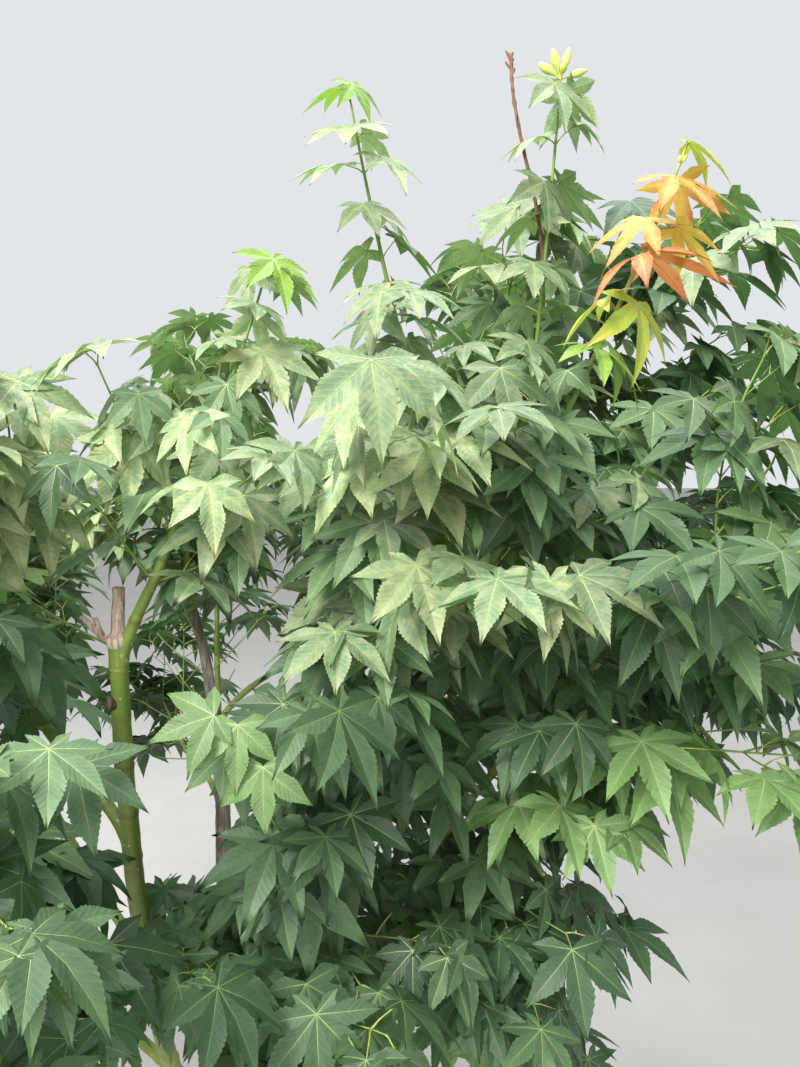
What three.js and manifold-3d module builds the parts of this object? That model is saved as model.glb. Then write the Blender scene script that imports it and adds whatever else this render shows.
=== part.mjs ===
// A young Japanese maple in full summer leaf, 1.87 m high, rooted at the flat cut under its trunk.
// One grey leader carries seven main stems, the stems carry side boughs, and every bough ends in
// a mass of foliage: one stem with opposite pairs of twigs, whose leaves have five pointed lobes.
// Millimetres and degrees, +Z up, the origin on the ground at the middle of the trunk's foot.
import * as THREE from "three";
import { mergeVertices } from "three/addons/utils/BufferGeometryUtils.js";
import Module from "manifold-3d";

const wasm = await Module();
wasm.setup();

const UP = new THREE.Vector3(0, 0, 1);
const GAP = 0.3; // between two pieces that touch

// The leader, from the ground to where the crown's middle foliage starts
const TRUNK = {
  foot: [0, 0, 0],
  rise: [0, 0, 380],
  sway: [50, 140, 860],
  tip: [-27, 100, 1200],
  footRadius: 26,
  tipRadius: 6.5,
  taper: 0.85, // under 1, so that it thins faster near the ground
  flare: 15,
  flareHeight: 45,
  buttresses: 5,
  buttressDepth: 0.14,
};

// Places are [azimuth, distance from the origin's upright, height]. A stem leaves the trunk at a
// share of its length, with the lean and azimuth given, and ends where its own foliage starts.
const STEMS = {
  front_left: { at: 0.34, leave: [-150, 42], tip: [-142, 370, 1130], end: [-140, 540, 1500], radius: 10 },
  pruned: { at: 0.31, leave: [-91, 46], tip: [-85, 416, 1276], end: null, radius: 11.5 },
  front: { at: 0.36, leave: [-84, 40], tip: [-54, 400, 1100], end: [-56, 560, 1500], radius: 10.5 },
  right: { at: 0.28, leave: [-27, 34], tip: [-23, 475, 1290], end: [-30, 540, 1835], radius: 12, slender: true },
  back_right: { at: 0.42, leave: [38, 44], tip: [38, 410, 1190], end: [34, 580, 1750], radius: 10.5 },
  back: { at: 0.47, leave: [100, 40], tip: [98, 390, 1190], end: [97, 500, 1640], radius: 10 },
  left: { at: 0.39, leave: [168, 42], tip: [166, 380, 1150], end: [166, 550, 1590], radius: 10.5 },
};

// A bough leaves its stem at a share of the stem's length. Its foliage runs from tip to end.
const BOUGHS = {
  regrowth: { stem: "pruned", at: 0.97, tip: [-79, 424, 1350], end: [-65, 400, 1610], spread: 175, slender: true },
  front_low: { stem: "pruned", at: 0.6, tip: [-98, 450, 1030], end: [-93, 600, 1170], spread: 190 },
  front_left_high: { stem: "pruned", at: 0.78, tip: [-104, 350, 1190], end: [-108, 430, 1400], spread: 180 },
  middle_low: { stem: "front", at: 0.55, tip: [-68, 330, 900], end: [-64, 480, 1010], spread: 190 },
  middle_high: { stem: "right", at: 0.8, tip: [-29, 400, 1370], end: [-46, 356, 1820], spread: 165, slender: true },
  young_shoot: { stem: "right", at: 0.62, tip: [-43, 530, 1330], end: [-42, 712, 1690], spread: 150, slender: true },
  right_front: { stem: "right", at: 0.46, tip: [-37, 520, 1120], end: [-36, 770, 1440], spread: 200 },
  right_middle: { stem: "right", at: 0.36, tip: [-9, 560, 1060], end: [-13, 780, 1310], spread: 200 },
  right_high: { stem: "right", at: 0.7, tip: [-8, 440, 1370], end: [-12, 650, 1690], spread: 190 },
  right_low: { stem: "right", at: 0.28, tip: [-34, 370, 900], end: [-35, 510, 985], spread: 160 },
  right_skirt: { stem: "right", at: 0.2, tip: [-6, 330, 690], end: [-9, 440, 700], spread: 140 },
  right_back: { stem: "back_right", at: 0.6, tip: [14, 520, 1160], end: [9, 770, 1540], spread: 200 },
  middle_back: { stem: "back_right", at: 0.7, tip: [18, 320, 1330], end: [-4, 480, 1690], spread: 190 },
  back_right_low: { stem: "back_right", at: 0.42, tip: [48, 430, 900], end: [50, 670, 980], spread: 200 },
  back_middle: { stem: "back", at: 0.62, tip: [74, 500, 1090], end: [72, 740, 1330], spread: 210 },
  back_low: { stem: "back", at: 0.42, tip: [108, 420, 860], end: [112, 640, 930], spread: 200 },
  left_back: { stem: "left", at: 0.62, tip: [136, 470, 1080], end: [134, 730, 1320], spread: 210 },
  left_low: { stem: "left", at: 0.4, tip: [172, 400, 830], end: [176, 640, 900], spread: 200 },
  left_middle: { stem: "front_left", at: 0.64, tip: [-165, 450, 1040], end: [-166, 720, 1260], spread: 210 },
  front_left_low: { stem: "front_left", at: 0.44, tip: [-128, 400, 840], end: [-126, 640, 950], spread: 200 },
};
const STEM_SPREAD = 190; // twig length in the foliage at a main stem's tip
const CROWN_END = [70, 90, 1600]; // of the foliage on the leader
// A slender shoot has small leaves and short twigs at its top
const SLENDER = { leafScale: 0.72, shortening: 0.75 };
const BOUGH_RADIUS = 6.5;
const TIP_RADIUS = 4.2; // of a stem or bough where its foliage starts
const PRUNED_TIP_RADIUS = 8.5;

// The dead stub above the cut on the pruned stem
const STUB = { height: 48, radius: 6, tipRadius: 5.2, lean: 3 };

// Twigs stand in opposite pairs, each pair turned a quarter from the last
const TWIG = {
  pairs: 3,
  firstShare: 0.12,
  lastShare: 0.8,
  angle: 54,
  lift: 0.12,
  outward: 0.28,
  vary: [0.8, 1.2],
  shortening: 0.4, // of the twigs towards the end of their stem
  radiusShare: 0.62, // of the radius of the stem where it leaves it
  stemTip: 2.2,
  lengths: [1, 0.72, 0.5], // tried in turn until one is free
};

// Each leaf stands for a few, and is nearly twice as long as in life
const LEAF = {
  length: 152,
  vary: 0.14,
  petiole: 34,
  thickness: 2.2,
  droop: [16, 56], // of the midrib below level
  mostBend: 50, // between the stalk and the midrib
  arch: 0.26,
  roll: 8,
  swing: 8,
  tries: 4,
  most: 12, // in one mass
};
// [angle from the midrib, reach as a share of the leaf's length] from the foot of the blade,
// round one side of it to the middle lobe's tip
const LEAF_EDGE = [
  [150, 0.1],
  [84, 0.68],
  [60, 0.36],
  [41, 0.92],
  [20, 0.42],
];
const STALK_LIFT = 0.35; // how far the stalk of a leaf at a twig's side leans up
const STEM_RISE = 0.25; // how far a foliage stem turns up towards its end
// Where leaves stand on a twig or foliage stem: [share, angle of the stalk from it, side]
const LEAF_RANKS = [
  [[0.93, 0, 0]],
  [
    [0.7, 62, 1],
    [0.7, 62, -1],
  ],
  [
    [0.4, 58, 1],
    [0.4, 58, -1],
  ],
];
const MARGIN = 3; // from a leaf or twig to the next mass's space and to a limb
const CHORDS = 4; // straight stretches in a foliage stem
const TRACE = 10; // steps along a foliage stem, by which its space is told
// [sides, rings] of each kind of limb
const FACETS = {
  trunk: [15, 14],
  stem: [7, 7],
  bough: [6, 4],
  stub: [8, 1],
  foliageStem: [5, CHORDS],
  twig: [3, 1],
  deadTwig: [3, 3],
};
const WELD = 1e-4; // points nearer than this are one
const BENT = 0.05; // sine of the least turn between the ends of a curve that isn't nearly straight
const LEAST_LEFT = 0.6; // of a limb's volume once others have cut it

// The dead twig above the leaves, from a share of its foliage stem to [azimuth, distance, height]
const DEAD_TWIG = { mass: "foliage_right", at: 0.62, end: [-30, 484, 1870], radius: 1.9 };

const BARK_GREY = { color: 0x776f63, roughness: 0.9, metalness: 0 };
const BARK_GREEN = { color: 0x5d7434, roughness: 0.75, metalness: 0 };
const DEAD_WOOD = { color: 0x8c7768, roughness: 0.95, metalness: 0 };
const GREEN_LEAVES = { color: 0x52794f, roughness: 0.6, metalness: 0 };
const YOUNG_LEAVES = { color: 0xb9a24a, roughness: 0.6, metalness: 0 };

const radians = THREE.MathUtils.degToRad;
const lerp = THREE.MathUtils.lerp;

// Numbers from 0 to 1 that follow from the seed alone
function seeded(seed) {
  let state = seed >>> 0;
  return () => {
    state = (state + 0x6d2b79f5) >>> 0;
    let mixed = Math.imul(state ^ (state >>> 15), state | 1);
    mixed ^= mixed + Math.imul(mixed ^ (mixed >>> 7), mixed | 61);
    return ((mixed ^ (mixed >>> 14)) >>> 0) / 4294967296;
  };
}

function place([azimuth, distance, height]) {
  const angle = radians(azimuth);
  return new THREE.Vector3(distance * Math.cos(angle), distance * Math.sin(angle), height);
}

// The unit vector that leans from upright towards an azimuth
function leaning(azimuth, lean) {
  return place([azimuth, Math.sin(radians(lean)), Math.cos(radians(lean))]);
}

// The level unit vector under a point or direction
function outwardFrom(point) {
  return new THREE.Vector3(point.x, point.y, 0).normalize();
}

// A curve that leaves and arrives in the directions given
function limbCurve(start, leave, tip, arrive) {
  const handle = start.distanceTo(tip) / 3;
  return new THREE.CubicBezierCurve3(
    start,
    start.clone().addScaledVector(leave, handle),
    tip.clone().addScaledVector(arrive, -handle),
    tip,
  );
}

// A unit vector square to both ends of a curve, from which its rings are turned. A curve that
// is nearly straight takes any vector square to it.
function sideOf(curve) {
  const first = curve.getTangent(0);
  const side = new THREE.Vector3().crossVectors(first, curve.getTangent(1));
  if (side.length() > BENT) return side.normalize();
  const other = Math.abs(first.z) < 0.8 ? UP : new THREE.Vector3(1, 0, 0);
  return new THREE.Vector3().crossVectors(first, other).normalize();
}

// A closed cylinder bent along a curve. radiusAt gives its radius at a share of the length and
// an angle round it. A pointed one closes to its axis at the tip.
function bentCylinder(curve, radiusAt, [sides, rings], pointed = false) {
  const geometry = new THREE.CylinderGeometry(pointed ? 0 : 1, 1, 1, sides, rings);
  const spot = geometry.getAttribute("position");
  const side = sideOf(curve);
  for (let i = 0; i < spot.count; i++) {
    const share = Math.min(1, Math.max(0, spot.getY(i) + 0.5));
    const angle = Math.atan2(spot.getZ(i), spot.getX(i));
    const onAxis = Math.hypot(spot.getX(i), spot.getZ(i)) < WELD;
    const tangent = curve.getTangent(share);
    const across = side.clone().addScaledVector(tangent, -side.dot(tangent)).normalize();
    const third = new THREE.Vector3().crossVectors(across, tangent);
    const radius = onAxis ? 0 : radiusAt(share, angle);
    const point = curve
      .getPoint(share)
      .addScaledVector(across, radius * Math.cos(angle))
      .addScaledVector(third, radius * Math.sin(angle));
    spot.setXYZ(i, point.x, point.y, point.z);
  }
  return geometry;
}

function solidOf(geometry) {
  const bare = geometry.clone();
  bare.deleteAttribute("normal");
  bare.deleteAttribute("uv");
  const merged = mergeVertices(bare, WELD);
  const mesh = new wasm.Mesh({
    numProp: 3,
    vertProperties: new Float32Array(merged.getAttribute("position").array),
    triVerts: new Uint32Array(merged.index.array),
  });
  return new wasm.Manifold(mesh);
}

function geometryOf(solid) {
  const mesh = solid.getMesh();
  const geometry = new THREE.BufferGeometry();
  geometry.setAttribute("position", new THREE.BufferAttribute(mesh.vertProperties, 3));
  geometry.setIndex(new THREE.BufferAttribute(mesh.triVerts, 1));
  geometry.computeVertexNormals();
  return geometry;
}

function largestPiece(solid) {
  return solid.decompose().reduce((a, b) => (a.volume() > b.volume() ? a : b));
}

function boxesMeet(a, b) {
  const first = a.boundingBox();
  const second = b.boundingBox();
  return [0, 1, 2].every((k) => first.min[k] < second.max[k] && second.min[k] < first.max[k]);
}

const tree = new THREE.Group();

function addNode(name, solid, finish) {
  const mesh = new THREE.Mesh(geometryOf(solid), new THREE.MeshStandardMaterial(finish));
  mesh.name = name;
  tree.add(mesh);
}

// Limbs, each cut clear of those made before it
const limbs = [];

function addLimb(name, curve, radiusAt, facets, finish) {
  const grown = (extra) => solidOf(bentCylinder(curve, (t, a) => radiusAt(t, a) + extra, facets));
  const whole = grown(0);
  let solid = whole;
  for (const other of limbs) {
    if (boxesMeet(solid, other.thick)) solid = solid.subtract(other.thick);
  }
  solid = largestPiece(solid);
  if (solid.volume() < LEAST_LEFT * whole.volume()) throw new Error(name + " is cut through by another limb");
  limbs.push({ name, curve, solid, thick: grown(GAP), wide: grown(MARGIN) });
  addNode(name, solid, finish);
}

function taper(fromRadius, toRadius) {
  return (share) => lerp(fromRadius, toRadius, share);
}

// The trunk swells into five low buttresses where it meets the ground
function trunkRadius(share, angle) {
  const height = trunkCurve.getPoint(share).z;
  const foot = Math.exp(-height / TRUNK.flareHeight);
  const swell = 1 + TRUNK.buttressDepth * foot * Math.cos(TRUNK.buttresses * angle);
  return (lerp(TRUNK.footRadius, TRUNK.tipRadius, share ** TRUNK.taper) + TRUNK.flare * foot) * swell;
}

const trunkCurve = new THREE.CubicBezierCurve3(
  new THREE.Vector3(...TRUNK.foot),
  new THREE.Vector3(...TRUNK.rise),
  new THREE.Vector3(...TRUNK.sway),
  new THREE.Vector3(...TRUNK.tip),
);
addLimb("trunk", trunkCurve, trunkRadius, FACETS.trunk, BARK_GREY);

// A foliage stem goes on from its limb's tip, a gap clear of it, and bends up towards its end.
// It is straight from chord to chord, so that what stands on it is rooted in its middle.
function foliageStem(limb, end, startRadius) {
  const heading = limb.getTangent(1);
  const start = limb.getPoint(1).addScaledVector(heading, GAP);
  const arrive = end.clone().sub(start).normalize().addScaledVector(UP, STEM_RISE).normalize();
  const corners = limbCurve(start, heading, end, arrive).getSpacedPoints(CHORDS);
  const tilt = corners[1].clone().sub(corners[0]).normalize().cross(heading).length();
  corners[0].addScaledVector(heading, startRadius * tilt);
  const chords = new THREE.CurvePath();
  for (let i = 0; i < CHORDS; i++) chords.add(new THREE.LineCurve3(corners[i], corners[i + 1]));
  return chords;
}

const masses = [];

function addMass(name, limb, { end, spread = STEM_SPREAD, slender = false }, startRadius) {
  const curve = foliageStem(limb, place(end), startRadius);
  const leafScale = slender ? SLENDER.leafScale : 1;
  const shortening = slender ? SLENDER.shortening : TWIG.shortening;
  masses.push({ name, seed: 101 * (masses.length + 1), curve, spread, startRadius, leafScale, shortening });
}

const stemCurves = {};
for (const [name, stem] of Object.entries(STEMS)) {
  const start = trunkCurve.getPoint(stem.at);
  const tip = place(stem.tip);
  const arrive = stem.end ? place(stem.end).sub(tip).normalize() : UP;
  const curve = limbCurve(start, leaning(...stem.leave), tip, arrive);
  stemCurves[name] = curve;
  const tipRadius = stem.end ? TIP_RADIUS : PRUNED_TIP_RADIUS;
  addLimb("stem_" + name, curve, taper(stem.radius, tipRadius), FACETS.stem, BARK_GREEN);
  if (stem.end) addMass("foliage_" + name, curve, stem, tipRadius);
}

const stubFoot = stemCurves.pruned.getPoint(1).addScaledVector(UP, GAP);
const stubTop = stubFoot.clone().addScaledVector(leaning(0, STUB.lean), STUB.height);
const stubLine = new THREE.LineCurve3(stubFoot, stubTop);
addLimb("dead_stub", stubLine, taper(STUB.radius, STUB.tipRadius), FACETS.stub, DEAD_WOOD);

for (const [name, bough] of Object.entries(BOUGHS)) {
  const parent = stemCurves[bough.stem];
  const start = parent.getPoint(bough.at);
  const tip = place(bough.tip);
  const leave = parent.getTangent(bough.at).add(tip.clone().sub(start).normalize()).normalize();
  const arrive = place(bough.end).sub(tip).normalize();
  const curve = limbCurve(start, leave, tip, arrive);
  addLimb("bough_" + name, curve, taper(BOUGH_RADIUS, TIP_RADIUS), FACETS.bough, BARK_GREEN);
  addMass("foliage_" + name, curve, bough, TIP_RADIUS);
}
addMass("foliage_crown_middle", trunkCurve, { end: CROWN_END }, TRUNK.tipRadius);

// One twig of a mass at a share of its stem, turned round it, as a line of the length given
function twigLine(mass, share, turn, length) {
  const root = mass.curve.getPoint(share);
  const along = mass.curve.getTangent(share);
  const out = new THREE.Vector3().crossVectors(UP, along).normalize().applyAxisAngle(along, turn);
  const heading = along
    .clone()
    .multiplyScalar(Math.cos(radians(TWIG.angle)))
    .addScaledVector(out, Math.sin(radians(TWIG.angle)))
    .addScaledVector(UP, TWIG.lift)
    .addScaledVector(outwardFrom(root), TWIG.outward)
    .normalize();
  return new THREE.LineCurve3(root, root.clone().addScaledVector(heading, length));
}

// The twigs of a mass, each as the share, turn and length that the seed gives it
function twigRule(mass) {
  const random = seeded(mass.seed);
  const firstTurn = Math.PI * random();
  const twigs = [];
  for (let pair = 0; pair < TWIG.pairs; pair++) {
    const share = lerp(TWIG.firstShare, TWIG.lastShare, pair / (TWIG.pairs - 1));
    for (const half of [0, 1]) {
      const turn = firstTurn + (Math.PI / 2) * pair + Math.PI * half;
      const length = mass.spread * (1 - mass.shortening * share) * lerp(...TWIG.vary, random());
      twigs.push({ share, turn, length });
    }
  }
  return twigs;
}

// One leaf as a thin solid: a flat ring round its lobes with the stalk's foot inside the twig,
// and a point above and one below the foot of the blade
function leafSolid(root, foot, midrib, normal, length) {
  const across = new THREE.Vector3().crossVectors(midrib, normal);
  const onBlade = (side) => ([angle, reach]) => {
    const turn = side * radians(angle);
    return foot
      .clone()
      .addScaledVector(across, Math.sin(turn) * reach * length)
      .addScaledVector(midrib, Math.cos(turn) * reach * length)
      .addScaledVector(normal, -LEAF.arch * reach * reach * length);
  };
  const ring = [
    root,
    ...LEAF_EDGE.map(onBlade(1)),
    onBlade(1)([0, 1]),
    ...LEAF_EDGE.toReversed().map(onBlade(-1)),
  ];
  const half = LEAF.thickness / 2;
  const upper = foot.clone().addScaledVector(normal, half);
  const lower = foot.clone().addScaledVector(normal, -half);
  const points = [upper, lower, ...ring];
  const faces = ring.flatMap((_, i) => {
    const here = 2 + i;
    const next = 2 + ((i + 1) % ring.length);
    return [0, here, next, 1, next, here];
  });
  const numbers = points.flatMap((point) => point.toArray());
  const geometry = new THREE.BufferGeometry();
  geometry.setAttribute("position", new THREE.Float32BufferAttribute(numbers, 3));
  geometry.setIndex(faces);
  return { points, solid: solidOf(geometry) };
}

// A leaf whose blade bends down from its stalk, which stays behind the foot of the blade
function leafOn(root, stalk, scale, random) {
  const length = scale * LEAF.length * (1 + LEAF.vary * (2 * random() - 1));
  const foot = root.clone().addScaledVector(stalk, scale * LEAF.petiole);
  const swing = radians(LEAF.swing * (2 * random() - 1));
  const level = outwardFrom(stalk).applyAxisAngle(UP, swing);
  const climb = Math.asin(stalk.z);
  const droop = Math.min(radians(lerp(...LEAF.droop, random())), radians(LEAF.mostBend) - climb);
  const midrib = level.clone().multiplyScalar(Math.cos(droop)).addScaledVector(UP, -Math.sin(droop));
  const normal = level
    .clone()
    .multiplyScalar(Math.sin(droop))
    .addScaledVector(UP, Math.cos(droop))
    .applyAxisAngle(midrib, radians(LEAF.roll * (2 * random() - 1)));
  return leafSolid(root, foot, midrib, normal, length);
}

// The direction of a leaf's stalk, to one side of the twig that carries it
function stalkFrom(curve, share, angle, side) {
  const along = curve.getTangent(share);
  const level = new THREE.Vector3().crossVectors(UP, along).normalize();
  return along
    .clone()
    .multiplyScalar(Math.cos(radians(angle)))
    .addScaledVector(level, side * Math.sin(radians(angle)))
    .addScaledVector(UP, Math.abs(side) * STALK_LIFT)
    .normalize();
}

const traces = masses.map((mass) => mass.curve.getPoints(TRACE));

// True where every point is nearer to the mass's own stem than to any other by the margin
function inOwnSpace(points, index) {
  return points.every((point) => {
    const near = traces.map((trace) => Math.min(...trace.map((spot) => spot.distanceTo(point))));
    return near.every((distance, other) => other === index || near[index] + MARGIN < distance);
  });
}

function touches(solid, others) {
  return others.some((other) => boxesMeet(solid, other) && !solid.intersect(other).isEmpty());
}

function stemRadius(mass) {
  return taper(mass.startRadius, TWIG.stemTip);
}

// The twigs of a mass that keep to its space, as lines, with their solids
function freeTwigs(mass, index, obstacles) {
  const twigs = [];
  for (const { share, turn, length } of twigRule(mass)) {
    const radius = TWIG.radiusShare * stemRadius(mass)(share);
    for (const shorter of TWIG.lengths) {
      const curve = twigLine(mass, share, turn, shorter * length);
      const solid = solidOf(bentCylinder(curve, taper(radius, 0), FACETS.twig, true));
      if (!inOwnSpace(curve.getPoints(4), index) || touches(solid, obstacles)) continue;
      twigs.push({ curve, solid });
      break;
    }
  }
  return twigs;
}

// The leaves of a mass, the outermost first, each tried a few ways until one is free
function freeLeaves(mass, index, carriers, obstacles) {
  const random = seeded(mass.seed + 1);
  const leaves = [];
  for (const rank of LEAF_RANKS) {
    for (const { curve, solid: own } of carriers) {
      const wood = carriers.map((carrier) => carrier.solid).filter((solid) => solid !== own);
      for (const [share, angle, side] of rank) {
        for (let attempt = 0; attempt < LEAF.tries; attempt++) {
          const stalk = stalkFrom(curve, share, angle, side);
          const leaf = leafOn(curve.getPoint(share), stalk, mass.leafScale, random);
          if (!inOwnSpace(leaf.points, index)) continue;
          if (touches(leaf.solid, [...obstacles, ...wood, ...leaves])) continue;
          leaves.push(leaf.solid);
          break;
        }
        if (leaves.length === LEAF.most) return leaves;
      }
    }
  }
  return leaves;
}

function buildMass(mass, index, earlier) {
  const obstacles = [...limbs.map((limb) => limb.wide), ...earlier];
  const stem = solidOf(bentCylinder(mass.curve, stemRadius(mass), FACETS.foliageStem, true));
  const twigs = freeTwigs(mass, index, obstacles);
  const parts = [stem, ...twigs.map((twig) => twig.solid)];
  if (mass.name === DEAD_TWIG.mass) parts.push(deadTwig(mass));
  const carriers = [{ curve: mass.curve, solid: stem }, ...twigs];
  const leaves = freeLeaves(mass, index, carriers, obstacles);
  return largestPiece(wasm.Manifold.union([...parts, ...leaves]));
}

// The bare dead twig that stands above the leaves
function deadTwig(mass) {
  const root = mass.curve.getPoint(DEAD_TWIG.at);
  const end = place(DEAD_TWIG.end);
  const curve = limbCurve(root, mass.curve.getTangent(DEAD_TWIG.at), end, UP);
  return solidOf(bentCylinder(curve, taper(DEAD_TWIG.radius, 0), FACETS.deadTwig, true));
}

const massSolids = [];
masses.forEach((mass, index) => {
  const solid = buildMass(mass, index, massSolids);
  massSolids.push(solid);
  addNode(mass.name, solid, mass.name === "foliage_young_shoot" ? YOUNG_LEAVES : GREEN_LEAVES);
});

export default tree;
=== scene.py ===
from collections import namedtuple
from itertools import product
from math import cos, hypot, pi, radians, sin

import bpy
import numpy as np
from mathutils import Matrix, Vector, noise


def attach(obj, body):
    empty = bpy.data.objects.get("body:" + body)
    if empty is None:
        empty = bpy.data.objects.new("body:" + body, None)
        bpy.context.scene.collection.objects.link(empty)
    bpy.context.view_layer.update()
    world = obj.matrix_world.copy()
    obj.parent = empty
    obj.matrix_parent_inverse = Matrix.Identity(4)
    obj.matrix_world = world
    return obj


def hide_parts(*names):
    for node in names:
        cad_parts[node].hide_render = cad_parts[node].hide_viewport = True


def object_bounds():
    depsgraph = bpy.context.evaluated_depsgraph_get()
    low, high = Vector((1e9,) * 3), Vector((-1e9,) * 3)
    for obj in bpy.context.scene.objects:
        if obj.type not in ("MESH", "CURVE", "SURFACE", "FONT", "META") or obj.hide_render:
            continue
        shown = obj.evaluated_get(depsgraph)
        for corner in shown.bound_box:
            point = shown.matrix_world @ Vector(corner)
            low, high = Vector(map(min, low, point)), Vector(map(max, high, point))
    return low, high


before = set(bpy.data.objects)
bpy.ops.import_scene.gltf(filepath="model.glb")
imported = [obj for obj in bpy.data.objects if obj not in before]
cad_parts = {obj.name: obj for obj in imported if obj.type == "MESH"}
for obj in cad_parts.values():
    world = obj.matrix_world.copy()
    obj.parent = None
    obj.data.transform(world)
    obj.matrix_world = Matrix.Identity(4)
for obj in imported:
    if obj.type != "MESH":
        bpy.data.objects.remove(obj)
cad_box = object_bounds()

UP = np.array([0.0, 0.0, 1.0])
ALONG_X = np.array([1.0, 0.0, 0.0])
MM = 0.001
norm = np.linalg.norm

# The named values of the solids, in millimetres and degrees. Places are [azimuth, distance, height].
TRUNK_CORNERS = [[0, 0, 0], [0, 0, 380], [50, 140, 860], [-27, 100, 1200]]
TRUNK = {
    "foot_radius": 26, "tip_radius": 6.5, "flare": 15, "flare_height": 45, "buttresses": 5, "depth": 0.14,
}
# Share of the trunk where a stem leaves, its azimuth and lean there, its tip, its foliage's end, its radius
STEMS = {
    "front_left": [0.34, (-150, 42), [-142, 370, 1130], [-140, 540, 1500], 10],
    "pruned": [0.31, (-91, 46), [-85, 416, 1276], None, 11.5],
    "front": [0.36, (-84, 40), [-54, 400, 1100], [-56, 560, 1500], 10.5],
    "right": [0.28, (-27, 34), [-23, 475, 1290], [-30, 540, 1835], 12],
    "back_right": [0.42, (38, 44), [38, 410, 1190], [34, 580, 1750], 10.5],
    "back": [0.47, (100, 40), [98, 390, 1190], [97, 500, 1640], 10],
    "left": [0.39, (168, 42), [166, 380, 1150], [166, 550, 1590], 10.5],
}
# A bough's stem and share of the stem where it leaves, its tip, its foliage's end and spread
BOUGHS = {
    "regrowth": ["pruned", 0.97, [-79, 424, 1350], [-65, 400, 1610], 175],
    "front_low": ["pruned", 0.6, [-98, 450, 1030], [-93, 600, 1170], 190],
    "front_left_high": ["pruned", 0.78, [-104, 350, 1190], [-108, 430, 1400], 180],
    "middle_low": ["front", 0.55, [-68, 330, 900], [-64, 480, 1010], 190],
    "middle_high": ["right", 0.8, [-29, 400, 1370], [-46, 356, 1820], 165],
    "young_shoot": ["right", 0.62, [-43, 530, 1330], [-42, 712, 1690], 150],
    "right_front": ["right", 0.46, [-37, 520, 1120], [-36, 770, 1440], 200],
    "right_middle": ["right", 0.36, [-9, 560, 1060], [-13, 780, 1310], 200],
    "right_high": ["right", 0.7, [-8, 440, 1370], [-12, 650, 1690], 190],
    "right_low": ["right", 0.28, [-34, 370, 900], [-35, 510, 985], 160],
    "right_skirt": ["right", 0.2, [-6, 330, 690], [-9, 440, 700], 140],
    "right_back": ["back_right", 0.6, [14, 520, 1160], [9, 770, 1540], 200],
    "middle_back": ["back_right", 0.7, [18, 320, 1330], [-4, 480, 1690], 190],
    "back_right_low": ["back_right", 0.42, [48, 430, 900], [50, 670, 980], 200],
    "back_middle": ["back", 0.62, [74, 500, 1090], [72, 740, 1330], 210],
    "back_low": ["back", 0.42, [108, 420, 860], [112, 640, 930], 200],
    "left_back": ["left", 0.62, [136, 470, 1080], [134, 730, 1320], 210],
    "left_low": ["left", 0.4, [172, 400, 830], [176, 640, 900], 200],
    "left_middle": ["front_left", 0.64, [-165, 450, 1040], [-166, 720, 1260], 210],
    "front_left_low": ["front_left", 0.44, [-128, 400, 840], [-126, 640, 950], 200],
}
# The shoots that rise clear of the crown, with smaller leaves and short twigs at the top
SLENDER = {
    "names": ("right", "regrowth", "middle_high", "young_shoot"), "leaf_scale": 0.85, "shortening": 0.75,
}
STEM_SPREAD = 190
CROWN_END = [70, 90, 1600]
BOUGH_RADIUS = 6.5
TIP_RADIUS = 4.2
PRUNED_TIP_RADIUS = 8.5
STUB_LEAN = 3
STEM_RISE = 0.25
TWIG_VARY = (0.8, 1.2)
TWIG = {"pairs": 3, "first": 0.12, "last": 0.8, "angle": 54, "lift": 0.12, "outward": 0.28, "shortening": 0.4}
DEAD_TWIG = {
    "at": 0.62, "end": [-30, 484, 1870], "radius": 2.1, "tip_radius": 1.7, "swell": 0.35,
    "scales": 9, "seed": 77,
}

# The finer growth, in metres
NODE_STEP = 0.052  # between pairs of leaves on a foliage stem
SLENDER_STEP = 0.042
YOUNG = {"from": 0.56, "step": 0.034, "scale": 0.92, "stalk": 0.6}  # the pairs at the top of the young shoot
FIRST_PAIR = 0.03  # from the foot of a twig or stem
LAST_PAIR = 0.012  # and least distance from a twig's end
TWIG_STEP = 0.047  # between pairs of leaves on a twig
STEP_VARY = (0.85, 1.2)
TWIG_POINT_STEP = 0.03
TWIG_BEND = 0.7
# What a twig turns to as it grows: outwards, and up or down between two heights
TWIG_AIM = {"outward": 0.8, "heading": 0.5, "rise": (-0.1, 0.5), "above": 0.7, "over": 0.8}
TWIG_REACH = 1.45  # a real twig's length against that of the solid, whose leaves are larger
SLENDER_REACH = 0.95
SHORT_TWIG = {"length": 0.12, "vary": (0.6, 1.2), "chance": 0.6, "thickness": 0.6}
SLENDER_FROM = 0.4  # above this share an upright shoot has pairs of leaves alone
INNER = {
    "from": 0.8, "to": 0.98, "step": 0.06, "reach": (0.08, 0.17), "angle": 60, "lift": 0.1,
    "thickness": 0.8, "leaf_scale": 0.95,
}
SIDE_TWIG = {
    "share": 0.62, "angle": 46, "angle_vary": 12, "turn_vary": 0.6, "chance": 0.62, "shortest": 0.045,
    "first": (0.25, 0.4), "last": 0.8, "step": 1.5, "thickness": 0.62, "leaf_scale": 0.95, "lift": 0.1,
}
STEM_TIP_RADIUS = 0.0011
TWIG_RADIUS = 0.0019
TWIG_TIP_RADIUS = 0.0009
LEAF = {
    "length": 0.084, "vary": 0.2, "along_stalk": 0.75, "outward": 0.55,
    "turn": 38, "tilt": 20, "droop": (8, 60),
}
AT_TWIG_END = {"angle": 34, "lift": 0.1, "pair": 0.78, "last": 0.7, "chance": 0.6}
AT_STEM_END = {"angle": 40, "lift": 0.2, "pair": 0.75, "last": 0.7}
OUTER_LEAF_SCALE = 0.8  # of a leaf at the end of its twig or stem
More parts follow.
